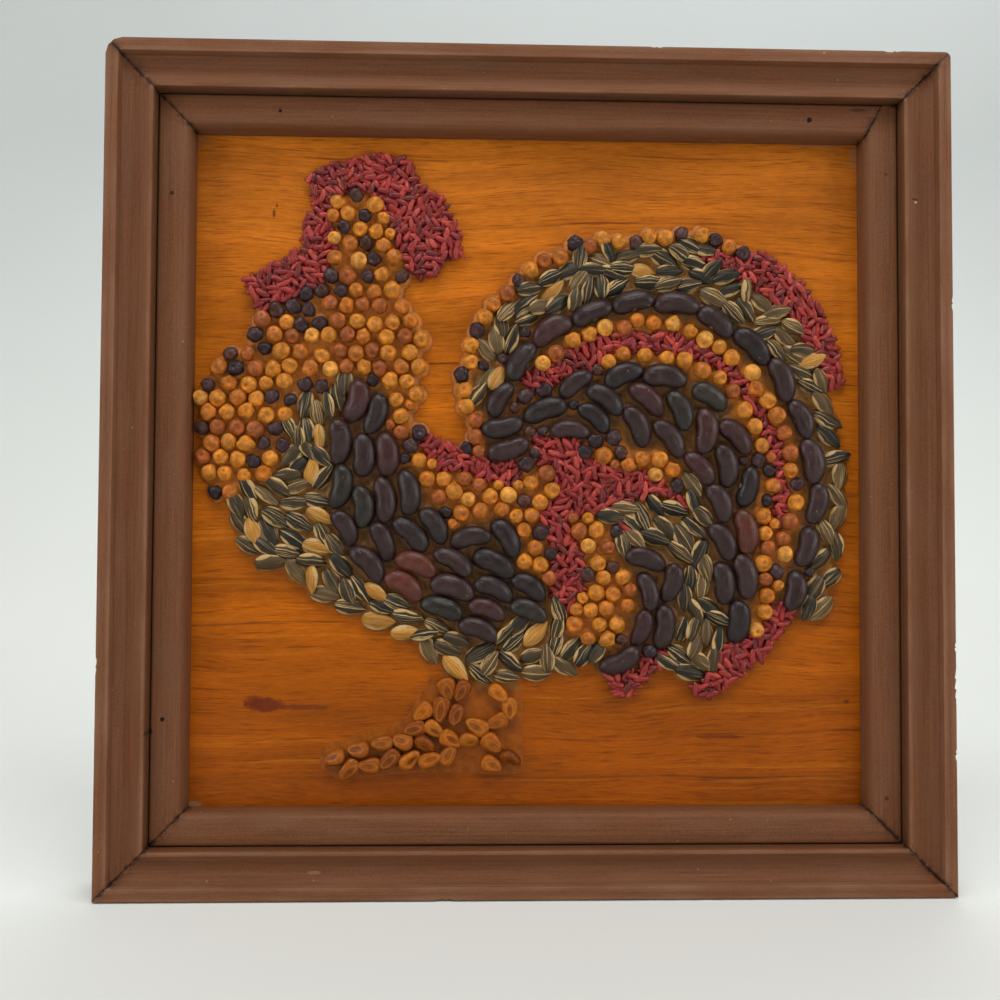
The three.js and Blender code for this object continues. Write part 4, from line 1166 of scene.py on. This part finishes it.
def make_nail_holes():
    """The sunk, dark nails that hold the strips: low dishes with a raised lip."""
    points, faces = [], []
    for x, z, radius in NAIL_HOLES:
        start = len(points)
        points.append((x, z, STRIP_FACE - 0.04))
        for share, rise in HOLE_RINGS:
            for turn in np.arange(HOLE_SIDES) * 2 * math.pi / HOLE_SIDES:
                ragged = radius * share * (1 + 0.08 * math.sin(3 * turn + x))
                points.append((x + ragged * math.cos(turn), z + ragged * math.sin(turn),
                               STRIP_FACE + rise))
        for j in range(HOLE_SIDES):
            after = (j + 1) % HOLE_SIDES
            faces.append((start, start + 1 + j, start + 1 + after))
            for i in range(len(HOLE_RINGS) - 1):
                a, b = start + 1 + i * HOLE_SIDES, start + 1 + (i + 1) * HOLE_SIDES
                faces.append((a + j, b + j, b + after, a + after))
        last = start + 1 + (len(HOLE_RINGS) - 1) * HOLE_SIDES
        faces.append(tuple(last + j for j in reversed(range(HOLE_SIDES))))
    build_piece("nail_holes", points, faces, hole_material(), [])


# Rice: the height of each layer of grains and the space between them

RICE_LAYERS = ((0.9, 2.1), (1.8, 2.1), (2.6, 2.7))
RICE_TRIES = 5
RICE_SIZES = (0.85, 1.08)
RICE_SHAKE = 0.2


def scattered(triangles, spacing, tries):
    """Random points on triangles, no closer together than a spacing."""
    sides = triangles[:, 1:] - triangles[:, :1]
    areas = np.abs(sides[:, 0, 0] * sides[:, 1, 1] - sides[:, 0, 1] * sides[:, 1, 0]) / 2
    which = random.choice(len(triangles), size=int(areas.sum() * tries), p=areas / areas.sum())
    s, t = random.uniform(size=(2, len(which)))
    s, t = np.where(s + t > 1, 1 - s, s), np.where(s + t > 1, 1 - t, t)
    spots = triangles[which, 0] + sides[which, 0] * s[:, None] + sides[which, 1] * t[:, None]
    kept, cells = [], {}
    for spot in spots:
        column, row = int(spot[0] // spacing), int(spot[1] // spacing)
        around = [(column + i, row + j) for i in (-1, 0, 1) for j in (-1, 0, 1)]
        near = [other for cell in around for other in cells.get(cell, ())]
        if all(math.hypot(*(spot - other)) > spacing for other in near):
            cells.setdefault((column, row), []).append(spot)
            kept.append(spot)
    return kept


def lay_rice(bed, material):
    """Layers of grains that lie anyhow over a bed."""
    grains = []
    for height, spacing in RICE_LAYERS:
        lift = height - KINDS["rice"]["size"][2] / 2
        for spot in scattered(flat_triangles(bed, RICE_LEVEL), spacing, RICE_TRIES):
            turn = random.uniform(0, 2 * math.pi)
            grain = new_seed("rice", bed, spot, turn, random.uniform(*RICE_SIZES))
            grain["lift"] = lift + random.uniform(-RICE_SHAKE, RICE_SHAKE)
            grains.append(grain)
    lay_piece(f"{bed}_dressed", grains, material, [bed])


# Glue film: a skin over the board round every seed, highest against the seeds

FILM_REACH = 1.25
FILM_FILL = FILL_REACH * 0.6
PATCH_EDGE = 0.7
# The film stops this far inside a seed's outline, where nothing of it can be seen
UNDER_SEED = -1.6
# Tints of the film by the nearest seed's kind. The dark ones by beans, sunflower seeds and rice are
# partly painted shade in the gaps between seeds.
FILM_AND_GAP_SHADE_TINTS = {
    "bean": srgb(108, 70, 30),
    "sunflower": srgb(126, 84, 34),
    "kernel": srgb(138, 70, 4),
    "pea": srgb(182, 108, 36),
    "rice": srgb(92, 30, 20),
}
FILM_EDGE_TINT = srgb(142, 72, 4)


def blurred(values, rounds):
    """Map values smoothed with their neighbours."""
    for _ in range(rounds):
        for side in (0, 1):
            values = (np.roll(values, 1, side) + 2 * values + np.roll(values, -1, side)) / 4
    return values


def make_film(kinds, patch):
    """The film covers the seeds, the gaps between them and the patch that the legs lie in."""
    film_and_shade_tints = np.array([FILM_AND_GAP_SHADE_TINTS[kind] for kind in kinds] + [FILM_AND_GAP_SHADE_TINTS["rice"]])
    owner = np.where(map_rice | (map_owner < 0), len(kinds), map_owner)
    gap = np.clip(map_gap, -3, 6)
    shape = filled_shape(FILM_FILL) | grown(patch, PATCH_EDGE) | grown(map_rice, FILM_REACH)
    shape = blurred(shape.astype(float), 6)
    waver = np.sin(map_x * 0.6 + 1.3 * np.sin(map_z * 0.35))
    waver += np.sin(map_z * 0.7 + 1.7 * np.sin(map_x * 0.3))
    level = blurred(np.maximum(FILM_REACH + 0.2 * waver - gap, (shape - 0.5) * 5), 1)
    # Each cell takes the tint of its nearest seed's kind, and the dark ones are partly painted shade.
    colour = np.stack([blurred(film_and_shade_tints[owner][..., channel], 2) for channel in range(3)], axis=-1)
    thin = np.clip(level / 1.1, 0, 1)[..., None]
    colour = np.array(FILM_EDGE_TINT) * (1 - thin) + colour * thin
    by_kernels = np.array([kind == "kernel" for kind in kinds] + [False])[owner]
    depth = blurred(np.where(by_kernels, 0.5, 1.0), 3)
    climb = 0.5 + 1.1 * np.exp(-np.clip(gap, 0, None) / 0.8)
    height = depth * climb * np.clip(level / 2.6, 0, 1) + 0.03
    slope_x, slope_z = np.gradient(level, CELL)
    outside = level < 0
    back = np.where(outside, -level / (slope_x ** 2 + slope_z ** 2 + 1e-6), 0)
    place_x = map_x + np.clip(back * slope_x, -CELL, CELL)
    place_z = map_z + np.clip(back * slope_z, -CELL, CELL)
    inside = ~outside
    cells = inside[:-1, :-1] | inside[1:, :-1] | inside[:-1, 1:] | inside[1:, 1:]
    open_air = gap > UNDER_SEED
    cells &= open_air[:-1, :-1] | open_air[1:, :-1] | open_air[:-1, 1:] | open_air[1:, 1:]
    row, column = np.nonzero(cells)
    width = map_x.shape[1]
    corner = row * width + column
    quads = np.stack([corner, corner + width, corner + width + 1, corner + 1], axis=1)
    used, index = np.unique(quads, return_inverse=True)
    points = np.stack([place_x.ravel()[used], place_z.ravel()[used], height.ravel()[used]], axis=1)
    points[:, :2] = np.clip(points[:, :2], STRIP_END - HALF_PANEL, HALF_PANEL - STRIP_END)
    colours = np.concatenate([colour.reshape(-1, 3)[used], np.ones((len(used), 1))], axis=1)
    build_piece("glue_film", points, index.reshape(-1, 4).tolist(), film_material(), [],
                [("film_and_shade_tint", "FLOAT_COLOR", colours)])


def make_mosaic():
    """Reads the beds, settles their seeds, fills gaps and lays every piece."""
    seeds = read_seeds()
    settle(seeds)
    legs = [seed for seed in seeds if seed["kind"] == "kernel"]
    seeds = [seed for seed in seeds if seed["kind"] != "kernel"]
    for disc, radius, owner in zip(*discs_of(seeds)):
        mark_disc(disc, radius, owner)
    for bed in BEDS["rice"]:
        map_rice[covered_by(bed, RICE_LEVEL)] = True
    fill_gaps(seeds)
    for disc, radius, owner in zip(*discs_of(legs)):
        mark_disc(disc, radius, len(seeds) + owner)
    seeds += legs
    make_film([seed["kind"] for seed in seeds], covered_by("leg_kernels", LEG_FILM_LEVEL))
    materials = {
        "bean": bean_material(),
        "sunflower": sunflower_material(),
        "kernel": kernel_material(),
        "pea": pea_material(),
        "rice": rice_material(),
    }
    for kind in PLACE_OF:
        for bed in BEDS[kind]:
            members = [seed for seed in seeds if seed["bed"] == bed]
            lay_piece(f"{bed}_dressed", members, materials[kind], [bed])
    loose = [seed for seed in seeds if seed["bed"] == "loose_peas"]
    lay_piece("loose_peas", loose, materials["pea"], [])
    for bed in BEDS["rice"]:
        lay_rice(bed, materials["rice"])


# Camera, light and surroundings

# The camera's place from the middle of the panel's front in millimetres, and its turns in degrees
FOCAL_MM = 36.0
SENSOR_MM = 36.0
CAMERA_FROM_FRONT = (-21.5, -354.6, -22.5)
CAMERA_PITCH = 1.71
CAMERA_YAW = -1.65
CAMERA_ROLL = -0.26
# The wall stands this far behind the panel, and the floor curves up into it
WALL_GAP = 0.8
WALL_CURVE = 0.6
FLOOR_REACH = 4.0
WALL_TOP = 3.0
# Lights: name, place, size in metres and power. Most light comes from above and in front
LIGHTS = (
    ("ceiling", (0.0, -0.8, 1.25), (1.2, 0.6), 16.5),
    ("back_window", (0.2, 0.72, 0.8), (1.0, 0.5), 4.5),
    ("left_window", (-1.4, -0.85, 0.3), (0.7, 0.9), 9.5),
    ("right_window", (1.4, -0.85, 0.3), (0.7, 0.9), 9.5),
)


def make_camera():
    data = bpy.data.cameras.new("camera")
    data.lens = FOCAL_MM
    data.sensor_width = SENSOR_MM
    data.clip_start = 0.01
    camera = new_object("camera", data)
    x, y, z = (value * MM for value in CAMERA_FROM_FRONT)
    turn = Matrix.Rotation(math.radians(CAMERA_YAW), 4, "Z")
    turn = turn @ Matrix.Rotation(math.radians(CAMERA_PITCH), 4, "X")
    turn = turn @ Matrix.Rotation(math.radians(CAMERA_ROLL), 4, "Y")
    turn = turn @ Matrix.Rotation(math.radians(90), 4, "X")
    camera.matrix_world = Matrix.Translation((x, panel_low.y + y, BOARD_MIDDLE + z)) @ turn
    bpy.context.scene.camera = camera


def backdrop_material():
    nodes = Nodes("pale_backdrop", specular=0.2)
    up = nodes.parts(nodes.add("ShaderNodeNewGeometry").outputs["Normal"])[2]
    cloudy = nodes.noise(nodes.spot, 3.0, 2.0)
    # Painted shade: the same pale surface is given a darker grey where it stands upright as the wall
    # than where it lies as the floor.
    colour = nodes.mix(nodes.math("ABSOLUTE", up), srgb(196, 201, 200), srgb(231, 234, 230))
    colour = nodes.shaded(colour, cloudy, 0.3, 0.7, 0.98, 1.02)
    return nodes.finish(colour, 0.8, nodes.noise(nodes.spot, 900.0), 0.0001, 0.1)


def make_stage():
    """A pale floor under the panel that curves up into a pale wall, far enough to look at the back."""
    floor_z = panel_low.z - 0.0005
    wall_y = panel_high.y + WALL_GAP
    outline = [(-FLOOR_REACH, floor_z)]
    for turn in np.radians(np.linspace(0, 90, 31)):
        outline.append((wall_y - WALL_CURVE + WALL_CURVE * math.sin(turn),
                        floor_z + WALL_CURVE - WALL_CURVE * math.cos(turn)))
    outline.append((wall_y, WALL_TOP))
    count = len(outline)
    points = [(x, y, z) for x in (-FLOOR_REACH, FLOOR_REACH) for y, z in outline]
    faces = [(i, count + i, count + i + 1, i + 1) for i in range(count - 1)]
    backdrop = smooth_object("backdrop", points, faces, backdrop_material())


def make_light():
    """The lights, aimed at the middle of the panel's front, and a weak even light all round."""
    for name, place, size, power in LIGHTS:
        data = bpy.data.lights.new(name, "AREA")
        data.shape = "RECTANGLE"
        data.size, data.size_y = size
        data.energy = power
        light = new_object(name, data)
        light.location = place
        aim = Vector((0, panel_low.y, BOARD_MIDDLE)) - Vector(place)
        light.rotation_euler = aim.to_track_quat("-Z", "Y").to_euler()
    world = bpy.data.worlds.new("studio")
    bpy.context.scene.world = world
    world.use_nodes = True
    background = world.node_tree.nodes["Background"]
    background.inputs["Color"].default_value = (*srgb(234, 231, 226), 1)
    background.inputs["Strength"].default_value = 0.24
    bpy.context.scene.view_settings.view_transform = "Standard"


def dress_board():
    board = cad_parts["board"]
    board.data.materials.clear()
    board.data.materials.append(board_material())


make_camera()
make_stage()
make_light()
make_frame()
make_nail_holes()
dress_board()
make_mosaic()
